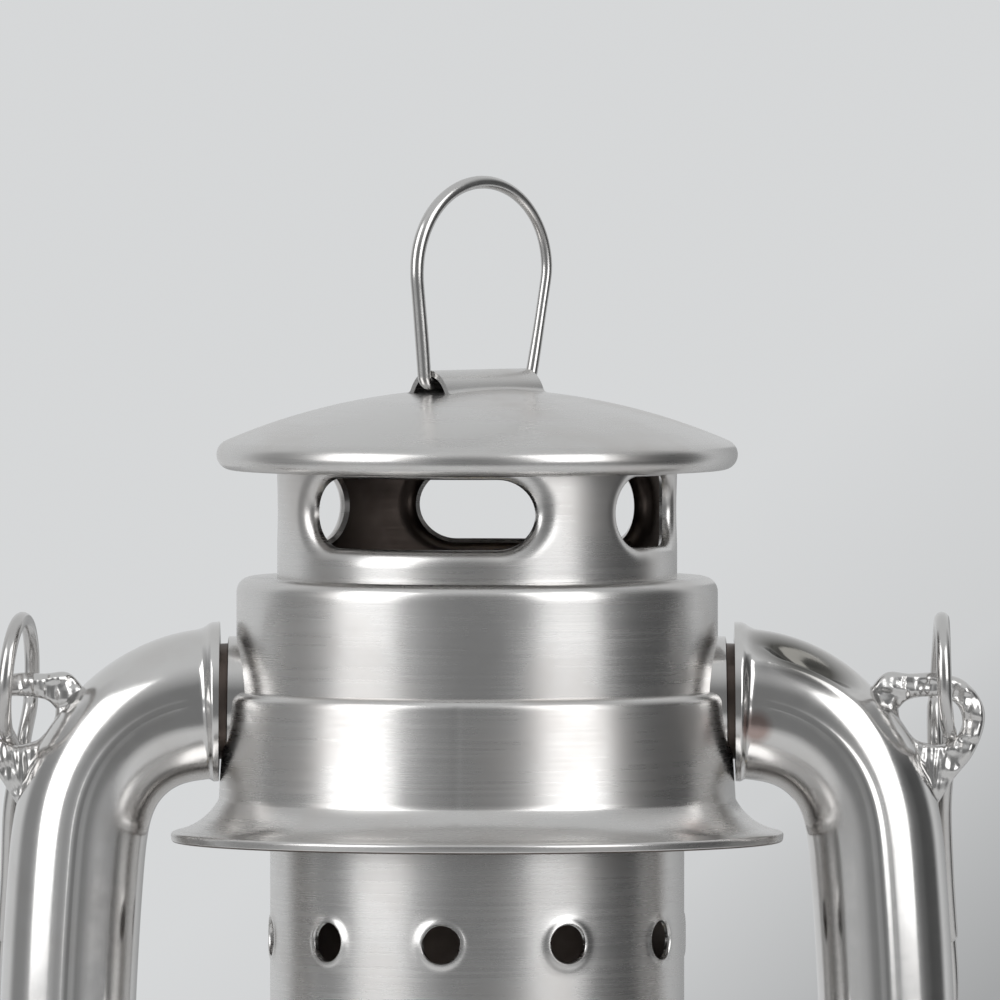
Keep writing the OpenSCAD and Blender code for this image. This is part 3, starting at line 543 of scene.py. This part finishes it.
def metal(name, marks, clean, stain, share, gloss, stretch=(30, 30, 2200), wave=0.5, spots=()):
    """Bare metal with its marks, and soft-edged spots of another colour that are painted reflections."""
    paint = bpy.data.materials.new(name)
    paint.use_nodes = True
    tree = paint.node_tree
    tree.nodes.clear()
    n = Nodes(tree)
    group = n.add("ShaderNodeGroup")
    group.node_tree = marks
    values = {"Grain Stretch": stretch, "Clean": (*clean, 1), "Stain": (*stain, 1), "Stain Share": share,
              "Gloss Low": gloss[0], "Gloss High": gloss[1], "Wave": wave}
    for label, value in values.items():
        group.inputs[label].default_value = value
    bump = n.add("ShaderNodeBump", Strength=0.35, Distance=0.0006, Height=group.outputs["Height"])
    body = n.add("ShaderNodeBsdfPrincipled", Metallic=1.0, Roughness=group.outputs["Roughness"],
                 Normal=bump.outputs[0])
    colour = group.outputs["Color"]
    at = n.add("ShaderNodeTexCoord").outputs["Object"]
    # Each spot is a painted reflection: its colour is mixed in over a soft-edged ellipsoid
    for place, lean, reach, tint, most in spots:
        near = n.add("ShaderNodeMapping", vector_type="TEXTURE", Vector=at, Location=np.multiply(place, MM),
                     Rotation=(0, lean, 0), Scale=np.multiply(reach, MM))
        far = n.add("ShaderNodeVectorMath", operation="LENGTH", in0=near.outputs[0]).outputs["Value"]
        colour = n.mix(n.span(far, most, 0.0, 0.5, 1.0), colour, tint)
    n.put(body, "Base Color", colour)
    n.add("ShaderNodeOutputMaterial", Surface=body.outputs[0])
    return paint


def clear_glass():
    """Clear glass whose surface is a little wavy."""
    paint = bpy.data.materials.new("clear_glass")
    paint.use_nodes = True
    body = paint.node_tree.nodes["Principled BSDF"]
    n = Nodes(paint.node_tree)
    at = n.add("ShaderNodeTexCoord").outputs["Object"]
    seeds = n.add("ShaderNodeBump", Strength=0.1, Distance=0.0005, Height=n.noise(at, 90.0, 1.0))
    n.put(body, "Normal", seeds.outputs[0])
    n.put(body, "Base Color", (0.97, 0.99, 0.985, 1))
    n.put(body, "Transmission Weight", 1.0)
    n.put(body, "Roughness", 0.02)
    n.put(body, "IOR", 1.47)
    return paint


def plain_matter(name, colour, rough, scale, depth):
    """Cotton or rubber: a tone that varies and a fine relief of the same size."""
    paint = bpy.data.materials.new(name)
    paint.use_nodes = True
    body = paint.node_tree.nodes["Principled BSDF"]
    n = Nodes(paint.node_tree)
    at = n.add("ShaderNodeTexCoord").outputs["Object"]
    fleck = n.noise(at, scale, 3.0)
    dark, pale = (tuple(min(c * tone, 1) for c in colour) for tone in (0.8, 1.15))
    n.put(body, "Base Color", n.mix(fleck, dark, pale))
    n.put(body, "Roughness", rough)
    n.put(body, "Normal", n.add("ShaderNodeBump", Strength=0.5, Distance=depth, Height=fleck).outputs[0])
    return paint


# Pieces of the crown

def dome_height(across):
    """Height of the hood's ball-shaped skin at a distance from the axis."""
    return DOME_Z + np.sqrt(DOME_R ** 2 - across ** 2)


def make_chimney():
    """Tube with four long openings whose edges roll inward over a quarter ellipse; the inside is sooted."""
    lean = np.radians(np.linspace(0, 90, 12))[:, None]
    near, deep = 1 - np.sin(lean), 1 - np.cos(lean)
    skin = np.concatenate([ROLL_WIDTH * near, ROLL_DEPTH * deep], -1)
    back = np.concatenate([SHEET + (ROLL_WIDTH - SHEET) * near, SHEET + ROLL_DEPTH * deep], -1)[::-1]
    edge = np.concatenate([skin, skin[-1:] + [0, 0.4], back[:1] + [0, 0.2], back])
    wall = pierced(CHIMNEY_R, SHEET, WINDOW_LOW, WINDOW_HIGH, WINDOWS, WINDOW_Z, WINDOW_R, edge, 26)
    inner = CHIMNEY_R - SHEET
    runs = [turned(line_of((inner, low), (CHIMNEY_R, low), (CHIMNEY_R, high), (inner, high)), 180)
            for low, high in ((CHIMNEY_FOOT, WINDOW_LOW), (WINDOW_HIGH, CHIMNEY_TOP))]
    # The fourth side of a run's outline is its inner skin
    runs = [(*run, np.repeat(np.array([0, 0, 0, 1], np.int32), 180)) for run in runs]
    make_piece("chimney", [wall, *runs], "crown", ["chimney_tube"], "nickel_sheet", inside="sooted_sheet")


def make_hood():
    """Dome turned from a ball's arc into a rolled rim, and the stamped tunnel, an arch that fades into it."""
    reach = np.linspace(0, RIM_X + RIM_R * math.cos(math.radians(RIM_START)), 60)
    dome = np.stack([reach, dome_height(reach)], -1)
    rim = arc_of(RIM_X, RIM_Z, RIM_R, RIM_START, -215, 44)
    line = np.concatenate([dome, rim[1:]])
    skin = turned(folded(line, -SHEET), 220, closed=False)
    u = np.linspace(-TUNNEL_HALF, TUNNEL_HALF, 28)
    outer, inner = arch_line(0.0, TUNNEL_R, 1.0), arch_line(-0.45, TUNNEL_R - 0.7, 1.3)
    tunnel = slab(arch_grid(u, outer), arch_grid(u, inner))
    make_piece("hood_dome", [skin, tunnel], "crown", ["hood"], "nickel_sheet")


def arch_line(foot, radius, fillet):
    """Section of the tunnel above the apex: a circle about (0, TUNNEL_Z - apex), met by fillets at the height
    of the foot."""
    drop = dome_height(0) - TUNNEL_Z
    side = math.sqrt((radius + fillet) ** 2 - (foot + fillet + drop) ** 2)
    lean = math.degrees(math.atan2(foot + fillet + drop, side))
    half = np.concatenate([[[side + 1.2, foot]], arc_of(side, foot + fillet, fillet, -90, -180 + lean, 10)])
    return np.concatenate([half * [-1, 1], arc_of(0, -drop, radius, 180 - lean, lean, 40)[1:-1], half[::-1]])


def arch_grid(u, section):
    """The section (v, h) along u: its foot follows the dome, and its ridge stays level."""
    v, h = section[None, :, 0], section[None, :, 1]
    u = u[:, None]
    apex = dome_height(0)
    fall = (apex - dome_height(np.hypot(u, v))) * (1 - np.clip(h / (TUNNEL_R - apex + TUNNEL_Z), 0, 1))
    c, s = math.cos(LOOP_TURN), math.sin(LOOP_TURN)
    return np.stack([u * c - v * s, u * s + v * c, apex + h - fall], -1)


def make_lift_loop():
    """Wire bow: half circle, legs that touch it, and feet bent into the tunnel. The wire is uneven."""
    reach = math.hypot(FOOT_OUT, BOW_Z - FOOT_Z)
    touch = math.degrees(math.acos(LOOP_R / reach) - math.atan2(BOW_Z - FOOT_Z, FOOT_OUT))
    bow = arc_of(0, BOW_Z, LOOP_R, touch, 90, 40)
    leg = line_of((FOOT_OUT - 3, FOOT_Z), (FOOT_OUT, FOOT_Z, 1.3), bow[0], step=12)
    half = np.concatenate([even(leg, 0.5)[:-1], bow[:-1]])
    line = np.concatenate([half, [bow[-1]], half[::-1] * [-1, 1]])
    far = np.arange(len(line))
    uneven = 0.03 * np.sin(0.21 * far) + 0.03 * np.sin(0.083 * far + 1)
    size = 0.5 * LOOP_WIRE * (0.97 - 0.12 * line[:, 0] / LOOP_R + uneven)
    line = line + [[LOOP_SKEW, 0]] * np.clip((line[:, 1:] - FOOT_Z) / (BOW_Z - FOOT_Z), 0, 1) ** 0.7
    wire = rolled(upright(line, LOOP_TURN), size, np.array([math.sin(LOOP_TURN), -math.cos(LOOP_TURN), 0]))
    make_piece("lift_loop", [wire], "lift_ring", ["lift_ring"], "steel_wire")


def make_drum():
    """Drum wall with punched holes whose edges stand up as a burr, on a foot that caps the globe, under the
    seat of the spring."""
    foot_z, top_z = DRUM_Z + 2.2, DRUM_TOP - SHEET
    edge = np.array([[1.6, 0], [1.1, -0.03], [0.75, -0.12], [0.45, -0.24], [0.2, -0.24], [0.05, -0.1],
                     [0, 0.1], [0, 0.35], [0, 0.5], [0.08, 0.58], [0.2, SHEET], [1.6, SHEET]])
    wall = pierced(DRUM_R, SHEET, foot_z, top_z, DRUM_HOLES, DRUM_HOLE_Z, DRUM_HOLE_R, edge, 24)
    lip_in = GLOBE_TOP_R - GLASS - 2
    skirt = line_of((DRUM_R, foot_z + 0.05), (DRUM_R + 0.1, foot_z - 0.8, 1.5),
                    (DRUM_R + 4.2, DRUM_Z - 2.2, 0.6), (DRUM_R + 4.3, DRUM_Z - 3))
    under = line_of((DRUM_R + 3.8, DRUM_Z - 3), (DRUM_R + 0.6, DRUM_Z, 1.0), (lip_in, DRUM_Z),
                    (lip_in, DRUM_Z + SHEET), (DRUM_R - SHEET, DRUM_Z + SHEET, 0.8),
                    (DRUM_R - SHEET, foot_z + 0.05))
    seat = line_of((DRUM_R - SHEET - 0.3, top_z - 0.02), (SEAT_R, top_z - 0.02, 0.2), (SEAT_R, DRUM_TOP, 0.2),
                   (CHIMNEY_R + 0.05, DRUM_TOP), (CHIMNEY_R + 0.05, top_z - 0.02))
    shells = [wall, turned(np.concatenate([skirt, under])), turned(seat)]
    make_piece("crown_drum_wall", shells, "crown", ["crown_drum"], "nickel_sheet", inside="sooted_sheet")


def make_spring():
    """Wire on a helix, x = r cos a, y = r sin a, z rising evenly, in two runs that meet two thirds of the way
    up. The upper run rides on the frame and the lower run on the globe plate's carriage, each with a mesh of
    its own."""
    a = np.linspace(0, SPRING_TURNS * TURN, SPRING_TURNS * 72 + 1)
    rise = np.linspace(SPRING_LOW, SPRING_HIGH, len(a))
    path = np.stack([SPRING_R * np.cos(a), SPRING_R * np.sin(a), rise], -1)
    part = SPRING_TURNS * 48
    runs = [("coil_above", path[part:], "frame", "globe_lift", COLLAR_TOP - SHEET, GLOBE_TRAVEL),
            ("coil_below", path[:part + 1], "globe_carriage", "crown_lift", path[part, 2], CROWN_TRAVEL)]
    for name, run, body, joint, top, travel in runs:
        wire = rolled(run, SPRING_WIRE / 2, np.array([0, 0, 1.0]), 14)
        coil = make_piece(name, [wire], body, ["crown_spring"], "steel_wire")
        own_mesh(coil)


# Collars

def make_collars():
    """Upper ring with its top plate, and lower ring with a rounded shoulder, a flared skirt and a hemmed lip.
    The lower ring has a butt seam, a shallow groove down its front."""
    line = line_of((UPPER_R, SEAM_Z - 2), (UPPER_R, COLLAR_TOP, 2.1), (CHIMNEY_R + 1.4, COLLAR_TOP, 0.8),
                   (CHIMNEY_R + 0.35, COLLAR_TOP - 0.9))
    ring = turned(folded(even(line, 0.5), SHEET), 200)
    make_piece("upper_ring", [ring], "frame", ["upper_collar"], "nickel_sheet")
    shoulder = LOWER_R - UPPER_R - 0.05
    top = arc_of(LOWER_R - shoulder, SEAM_Z - shoulder, shoulder, 90, 0, 10)
    flare = arc_of(FLARE_X, FLARE_Z, FLARE_R, 208, 258, 24)
    hem = line_of(flare[-1], (SKIRT_R + 0.15, SKIRT_Z + 1.35, 0.5), (SKIRT_R, SKIRT_Z, 0.45),
                  (SKIRT_R - 1.8, SKIRT_Z + 0.25))
    line = np.concatenate([top, even(np.concatenate([top[-1:], flare[:1]]), 0.6)[1:-1], flare, hem[1:]])

    def seam(a, r, z):
        side = (a + TURN / 2) % TURN - TURN / 2 - math.radians(LOWER_SEAM)
        return -0.05 * bump_at(side * r, 0.0, 0.45) * ((z > SKIRT_Z + 4) & (z < SEAM_Z - 1))

    outline, spokes = folded(line, -SHEET), 480
    under = np.arange(len(outline)) >= len(line) - 1
    under[:len(line)] |= (line[:, 1] < SKIRT_Z + 0.3)
    ring = (*turned(outline, spokes, seam), np.repeat(under.astype(np.int32), spokes))
    make_piece("lower_ring", [ring], "frame", ["lower_collar"], "nickel_sheet", inside="sooted_sheet")


# Side tubes, ears and bail

def make_side_tube(name, node, flip, dents):
    """Bent tube: a section r(b) about the middle line, with b from the outer side of the bend. It has a bead
    at the front and back, is a little flatter on the outside of the upper bend, and ends in a rolled lip, a
    groove painted dark as shade, and a stub that goes into the collar."""
    start = np.array([[STUB_TOP_X, TUBE_TOP], [BEND_X, TUBE_TOP]])
    top = arc_of(BEND_X, TUBE_TOP - BEND_R, BEND_R, 90, TUBE_LEAN, 120)
    bow = arc_of(BOW_X, TUBE_MID, BOW_R, TUBE_LEAN, -TUBE_LEAN, 200)
    low = arc_of(BEND_X, TUBE_LOW + BEND_R, BEND_R, -TUBE_LEAN, -90, 120)
    line = even(np.concatenate([start, top[1:], bow[1:-1], low, [[STUB_LOW_X, TUBE_LOW]]]), 0.5)
    # A running mean lets the bends ease into the runs between them, so that reflections flow through
    ease = np.hanning(43)[1:-1] / np.hanning(43).sum()
    reach = np.arange(1, 21)[:, None]
    before, after = line[0] + (line[0] - line[1]) * reach[::-1], line[-1] + (line[-1] - line[-2]) * reach
    padded = np.concatenate([before, line, after])
    line = np.stack([np.convolve(padded[:, k], ease, "valid") for k in range(2)], -1)
    # Short steps at the lip, longer ones from there on
    far = np.concatenate([[0], np.cumsum(np.linalg.norm(np.diff(line, axis=0), axis=1))])
    at = np.concatenate([np.arange(0, 8, 0.15), np.arange(8, far[-1], 0.5), far[-1:]])
    line = np.stack([np.interp(at, far, line[:, k]) for k in range(2)], -1)
    along = unit(np.gradient(line, axis=0))
    outer = np.stack([-along[:, 1], along[:, 0]], -1)
    b = np.arange(120)[None] * TURN / 120
    past = at[:, None] + STUB_TOP_X - LIP_X
    bead = BEAD_RISE * (bump_at(b, BEAD_SIDE, BEAD_WIDTH) + bump_at(b, TURN - BEAD_SIDE, BEAD_WIDTH))
    bead = bead * np.clip((past - 1.5) / 3, 0, 1) * np.clip((at[-1] - at[:, None] - 8) / 4, 0, 1)
    outward, inward = np.clip(np.cos(b), 0, 1), np.clip(-np.cos(b), 0, 1)
    swell = 0.9 * bump_at(past, 0, 12) * outward + 1.3 * bump_at(past, 0, 15) * inward
    lip = bump_at(np.clip(past - 0.5, 0, None), 0, 0.8)
    r = TUBE_R + bead + swell * (1 - lip) + (LIP_R - TUBE_R) * lip
    r = np.where(past < -0.4, TUBE_R - 1.4, r)
    r = np.where(past < -0.4 - GROOVE, TUBE_R - 0.4, r)
    for place, side, long, wide, deep in dents:
        turn = (b - math.radians(side) + TURN / 2) % TURN - TURN / 2
        r = r + deep * bump_at(past, place, long) * bump_at(turn, 0, math.radians(wide))
    bend = past - (BEND_X - LIP_X) - BEND_R * math.radians(50)
    press = 1 - 0.07 * bump_at(bend, 0, 8) * outward
    tilt = LIP_TILT * bump_at(past, 0, 3)

    def skin(radius):
        out, side = radius * np.cos(b) * press, radius * np.sin(b)
        x, z = line[:, :1] + out * (outer[:, :1] - tilt), line[:, 1:] + out * outer[:, 1:]
        return np.stack([flip * x, flip * side, z], -1)

    wall = shell(np.concatenate([skin(r), skin(r - SHEET)[::-1]]), close_rows=True)
    # The groove takes the dark sooted finish as painted shade in the gap under the lip; the inner skin takes it
    # too
    groove = (past[1:, 0] > -0.4 - GROOVE) & (past[1:, 0] < -0.3)
    groove_shade_and_inner = np.concatenate([groove, np.ones(len(line) + 1, bool)])
    marks = np.repeat(groove_shade_and_inner.astype(np.int32), b.size)
    make_piece(name, [(*wall, marks)], "frame", [node], "nickel_tube", sharp=50, inside="sooted_sheet")


def make_ear(name, node, flip, lumps):
    """Closed bracket, a ring between an outer and an inner outline. Its section is a rounded box, and cast
    lumps, products of sine waves across x and z, make it thicker and thinner."""
    outer, inner = (flowing(knots, 9)[:-1] for knots in (EAR_OUTER, EAR_INNER))
    middle, half = (outer + inner) / 2, (outer - inner) / 2
    b = np.arange(36)[None] * TURN / 36
    c, q = np.cos(b), np.sin(b)
    across = np.sign(c) * np.abs(c) ** 0.8
    x = middle[:, :1] + half[:, :1] * across
    z = middle[:, 1:] + half[:, 1:] * across
    swell = 0.22 * np.sin(1.25 * x + 0.7 * z + lumps[0]) * np.sin(0.6 * x - 1.35 * z + lumps[1])
    swell = swell + 0.09 * np.sin(2.7 * x - 2.1 * z + lumps[1]) * np.sin(1.8 * z + 2.9 * x)
    thick = 1.6 * np.sign(q) * np.abs(q) ** 0.7 * (1 + swell)
    bracket = shell(np.stack([flip * x, flip * thick, z], -1), close_rows=True)
    make_piece(name, [bracket], "frame", [node], "cast_nickel")


def bail_side(arm_x, tail_x, twist):
    """Half of the bail's wire on the right: up from a cut tail, once round in an eye that goes from the
    tail's place to the arm's and is twisted about the upright, and down the arm."""
    a = np.radians(np.linspace(-120, -420, 26))
    way = np.linspace(1, -1, 26)
    eye_x = (tail_x + arm_x) / 2 + (tail_x - arm_x) / 2 * (0.75 * way ** 3 + 0.25 * way)
    eye = np.stack([eye_x + twist * EYE_R * np.cos(a), EYE_R * np.cos(a), EYE_R * np.sin(a)], -1)
    tail = [(66.5, -1.3, -EYE_R - TAIL_L), (65.9, -1.4, -30), (65.5, -1.4, -20), (tail_x - 0.3, -1.3, -14),
            (tail_x, -1.2, -10.4)]
    arm = [(arm_x, 0.9, -10.4), (arm_x + 0.1, 0.9, -14), (64.6, 0.8, -21), (65.6, 0.7, -33), (66.7, 0.2, -47),
           (66.2, 0, -57), (BAIL_X, 0, -ARM_L)]
    return flowing(np.concatenate([tail, eye, arm]), 6)


def make_bail():
    """One wire: a side with its eye, a half round, and the other side. The whole hangs behind the lantern at
    the lean, turned about the X axis through the eyes."""
    turn = np.radians(np.linspace(0, -180, 101))[1:-1]
    bow = np.stack([BAIL_X * np.cos(turn), 0 * turn, BAIL_X * np.sin(turn) - ARM_L], -1)
    left = bail_side(*LEFT_EYE)[::-1] * [-1, 1, 1]
    path = np.concatenate([bail_side(*RIGHT_EYE), bow, left])
    # The section's own direction turns from X at the eyes to Y along the bow
    low = np.clip((-path[:, 2] - 18) / 25, 0, 1)[:, None] * TURN / 4
    side = np.sign(path[:, :1] + 1e-9)
    normal = np.cos(low) * np.array([1.0, 0, 0]) * side + np.sin(low) * np.array([0, 1.0, 0])
    c, s = math.cos(BAIL_LEAN), math.sin(BAIL_LEAN)
    hang = np.array([[1, 0, 0], [0, c, s], [0, -s, c]])
    wire = rolled(path @ hang + [0, 0, BAIL_Z], BAIL_WIRE / 2, normal @ hang, 20)
    make_piece("bail_wire", [wire], "bail", ["bail"], "steel_wire")


# Glass, tank and burner

def make_globe():
    """Globe whose half width is a quarter sine up to the belly and half a cosine wave from there to the neck.
    Both its rims are melted round."""
    t = np.linspace(0, 1, 90)
    low = GLOBE_FOOT_R + (GLOBE_R - GLOBE_FOOT_R) * np.sin(TURN / 4 * np.clip(t / BELLY, 0, 1))
    above = np.clip((t - BELLY) / (1 - BELLY), 0, 1)
    high = GLOBE_TOP_R + (GLOBE_R - GLOBE_TOP_R) * (1 + np.cos(TURN / 2 * above)) / 2
    half = np.where(t < BELLY, low, high)
    z = GLOBE_Z + GLASS / 2 + (GLOBE_H - GLASS) * t
    top = arc_of(half[-1] - GLASS / 2, z[-1], GLASS / 2, 0, 180, 12)
    foot = arc_of(half[0] - GLASS / 2, z[0], GLASS / 2, 180, 360, 12)
    outer, inner = np.stack([half, z], -1), np.stack([half - GLASS, z], -1)
    outline = np.concatenate([outer[1:-1], top, inner[-2:0:-1], foot])
    make_piece("globe_glass", [turned(outline, 160)], "globe_carriage", ["globe"], "clear_glass", sharp=80)


def make_tank():
    """Tank skin with a rolled bottom seam, upright wall, rounded shoulder and top plate, the air chamber, and
    the seal in the filler cap."""
    seam = arc_of(TANK_R, SEAM_R, SEAM_R, -90, 70, 20)
    shoulder = arc_of(TANK_R - SHOULDER_R, TANK_WALL, SHOULDER_R, 0, 58, 24)
    wall = line_of(seam[-1], (TANK_R, SEAM_R * 2.3, 0.8), shoulder[0], step=10)
    crown = line_of(shoulder[-1], (PLATE_R, TANK_H, PLATE_ROUND), (MOUTH_R, TANK_H), step=3)
    line = np.concatenate([seam, wall[1:-1], shoulder, crown[1:]])
    make_piece("tank_skin", [turned(folded(line, SHEET), 220)], "frame", ["fuel_tank"], "nickel_sheet")
    line = line_of((CHAMBER_FOOT_R, TANK_H + 0.35), (CHAMBER_R, TANK_H + 0.75, 1.2),
                   (CHAMBER_R, CHAMBER_TOP, 2.2), (CHAMBER_IN, CHAMBER_TOP))
    chamber = turned(folded(even(line, 0.7), SHEET), 180)
    make_piece("chamber_skin", [chamber], "frame", ["air_chamber"], "nickel_sheet")
    high = GASKET_Z + GASKET_T
    ring = line_of((NECK_R, GASKET_Z), (NECK_R, high, GASKET_ROUND), (GASKET_BORE, high, GASKET_ROUND),
                   (GASKET_BORE, GASKET_Z, GASKET_ROUND), (NECK_R - 0.3, GASKET_Z))
    spots, faces = turned(ring, 72)
    make_piece("cap_seal_ring", [(spots + [*FILLER_AT, 0], faces)], "cap_seal", ["cap_gasket"], "seal_rubber")


def flutes(limit, count, notch, low):
    """Relief of flutes: above the height low, r stays within the limit less a circle of the notch's radius,
    taken at the distance along the rim from the nearest flute's middle."""
    def relief(a, r, z):
        side = limit * ((a * count / TURN + 0.5) % 1 - 0.5) * TURN / count
        floor = limit - np.sqrt(np.clip(notch ** 2 - side ** 2, 0, None))
        return np.where(z > low, np.minimum(floor - r, 0), 0)
    return relief


def lying(shape, place):
    """A shape made round Z, laid down so that its axis points to the front, and put at the place."""
    spots, faces = shape
    return np.stack([spots[:, 0], -spots[:, 2], spots[:, 1]], -1) + place, faces


def make_cap_and_knob():
    """Filler cap with flutes and a dished top, and the wick's knob with a notched rim and a dished face."""
    skin = line_of((CAP_BORE, CAP_FOOT), (CAP_R, CAP_FOOT, 0.3), (CAP_R, CAP_TOP, 1.0),
                   (CAP_R - 3.4, CAP_TOP, 0.4), (CAP_R - 4, CAP_TOP - 0.6, 0.4), (0, CAP_TOP - 0.6))
    under = np.array([[0, CAP_ROOF], [CAP_BORE, CAP_ROOF]])
    relief = flutes(CAP_R + 0.3, CAP_FLUTES, 0.7, CAP_FOOT + 1.4)
    spots, faces = turned(np.concatenate([even(skin, 0.3), under]), 20 * CAP_FLUTES, relief)
    make_piece("cap_shell", [(spots + [*FILLER_AT, 0], faces)], "filler_cap", ["filler_cap"], "nickel_sheet")
    skin = line_of((0, 0), (2.4, 0), (2.4, 1, 0.3), (KNOB_R, 1, 0.5), (KNOB_R, KNOB_T, 0.6),
                   (KNOB_R - 2, KNOB_T, 0.4), (KNOB_R - 3, KNOB_T - 1, 0.5), (0, KNOB_T - 1))
    knob = turned(even(skin, 0.25), 18 * KNOB_FLUTES, flutes(KNOB_R + 0.15, KNOB_FLUTES, 0.55, 0.5))
    make_piece("knob_wheel", [lying(knob, KNOB_AT)], "wick_raiser", ["wick_knob"], "knob_metal")


def make_lever():
    """Bent rod through a hub, with its pivot pin, a round tip under the globe's plate and a thumb plate: a
    disc whose reach is held within PADDLE_HALF to both sides."""
    drop, rise = math.radians(LEVER_DROP), math.radians(LEVER_RISE)
    x, y, z = LEVER_AT
    tip = (x - LEVER_IN * math.cos(drop), z - LEVER_IN * math.sin(drop))
    elbow = (x + LEVER_OUT * math.cos(rise), z + LEVER_OUT * math.sin(rise))
    line = even(line_of(tip, (x, z, 2.0), elbow), 0.6)
    path = np.stack([line[:, 0], 0 * line[:, 0] + y, line[:, 1]], -1)
    rod = rolled(path, LEVER_WIRE / 2, np.array([0, 1.0, 0]))
    half = HUB_T / 2
    hub = turned(line_of((0, -half), (HUB_R, -half, 0.35), (HUB_R, half, 0.35), (0, half)), 72)
    end, head = 0.3 - TUBE_R / 2, 0.3
    pin = turned(line_of((0, end), (PIN_R, end), (PIN_R, head, 0.2), (0, head)), 48)
    half = LEVER_WIRE / 2
    disc = line_of((0, -half), (PADDLE_R, -half, 0.7), (PADDLE_R, half, 0.7), (0, half))

    def held(a, r, z):
        return r * (np.minimum(PADDLE_R, PADDLE_HALF / np.maximum(np.abs(np.sin(a)), 0.01)) / PADDLE_R - 1)

    spots, faces = turned(disc, 144, held)
    plate = (spots + [elbow[0] + 3, y, elbow[1]], faces)
    shapes = [rod, lying(hub, LEVER_AT), lying(pin, LEVER_AT), plate]
    make_piece("globe_lever", shapes, "lift_lever", ["lift_lever"], "steel_wire")


def make_wick():
    """Flat braid: a slab with full sides whose skin has ribs across and a weave along, frayed at the top."""
    b = np.arange(240)[None] * TURN / 240
    v = np.linspace(0, 1, 220)[:, None]
    y = WICK_W / 2 * np.sign(np.sin(b)) * np.abs(np.sin(b)) ** 0.8 + 0 * v
    top = WICK_TOP + 0.3 * np.sin(2.1 * y) + 0.2 * np.sin(5.3 * y + 1)
    z = WICK_FOOT + (top - WICK_FOOT) * v
    rib = np.cos(TURN * y / 1.5)
    weave = np.cos(TURN * z / 1.2 + math.pi * np.round(y / 1.5))
    ends = np.sqrt(np.clip(1 - np.maximum(0, np.abs(2 * v - 1) - 0.985) / 0.015, 0, 1))
    flat = np.sign(np.cos(b)) * np.abs(np.cos(b)) ** 0.4
    x = WICK_T / 2 * flat * (0.86 + 0.08 * rib + 0.06 * weave) * ends
    make_piece("wick_braid", [shell(np.stack([x, y, z], -1))], "wick", ["wick"], "wick_cotton", sharp=80)


# The lantern

marks = metal_marks_group()
NICKEL, NICKEL_STAIN = (0.70, 0.69, 0.68), (0.56, 0.52, 0.49)
finishes = {
    "nickel_sheet": metal("nickel_sheet", marks, NICKEL, NICKEL_STAIN, 0.4, (0.21, 0.34)),
    # The tube finish carries painted reflections: a dark one in the right tube's dent and a brown one under its
    # lip
    "nickel_tube": metal("nickel_tube", marks, (0.74, 0.73, 0.72), NICKEL_STAIN, 0.3, (0.10, 0.2),
                         (400, 400, 400), 0.35, TUBE_PAINTED_REFLECTIONS),
    "steel_wire": metal("steel_wire", marks, (0.66, 0.65, 0.64), (0.48, 0.45, 0.43), 0.4, (0.14, 0.26),
                        (900, 900, 900), 0.1),
    "sooted_sheet": metal("sooted_sheet", marks, (0.16, 0.13, 0.115), (0.04, 0.033, 0.03), 0.7, (0.3, 0.5)),
    "cast_nickel": metal("cast_nickel", marks, NICKEL, NICKEL_STAIN, 0.5, (0.14, 0.28), (700, 700, 700), 0.8),
    "burner_brass": metal("burner_brass", marks, (0.76, 0.58, 0.29), (0.50, 0.36, 0.18), 0.5, (0.22, 0.36)),
    "knob_metal": metal("knob_metal", marks, NICKEL, NICKEL_STAIN, 0.4, (0.12, 0.24), (900, 900, 900), 0.2),
    "clear_glass": clear_glass(),
    "wick_cotton": plain_matter("wick_cotton", (0.82, 0.77, 0.66), 0.9, 1500.0, 0.0004),
    "seal_rubber": plain_matter("seal_rubber", (0.045, 0.044, 0.043), 0.7, 600.0, 0.0002),
}
slot_of = {row["node"]: row["material_slot"] for row in frame["record"]["subparts"]}
for node, piece in frame["nodes"].items():
    piece.data.materials.clear()
    piece.data.materials.append(finishes[slot_of[node]])

make_chimney()
make_hood()
make_lift_loop()
make_drum()
make_spring()
make_collars()
make_side_tube("tube_left", "side_tube_left", -1, LEFT_DENTS)
make_side_tube("tube_right", "side_tube_right", 1, RIGHT_DENTS)
make_ear("ear_left", "bail_ear_left", -1, LEFT_LUMPS)
make_ear("ear_right", "bail_ear_right", 1, RIGHT_LUMPS)
make_bail()
make_globe()
make_tank()
make_cap_and_knob()
make_lever()
make_wick()

add_camera()
add_world()
for row in SOFTBOXES:
    add_softbox(*row)
add_floor()
scene.view_settings.view_transform = "Standard"
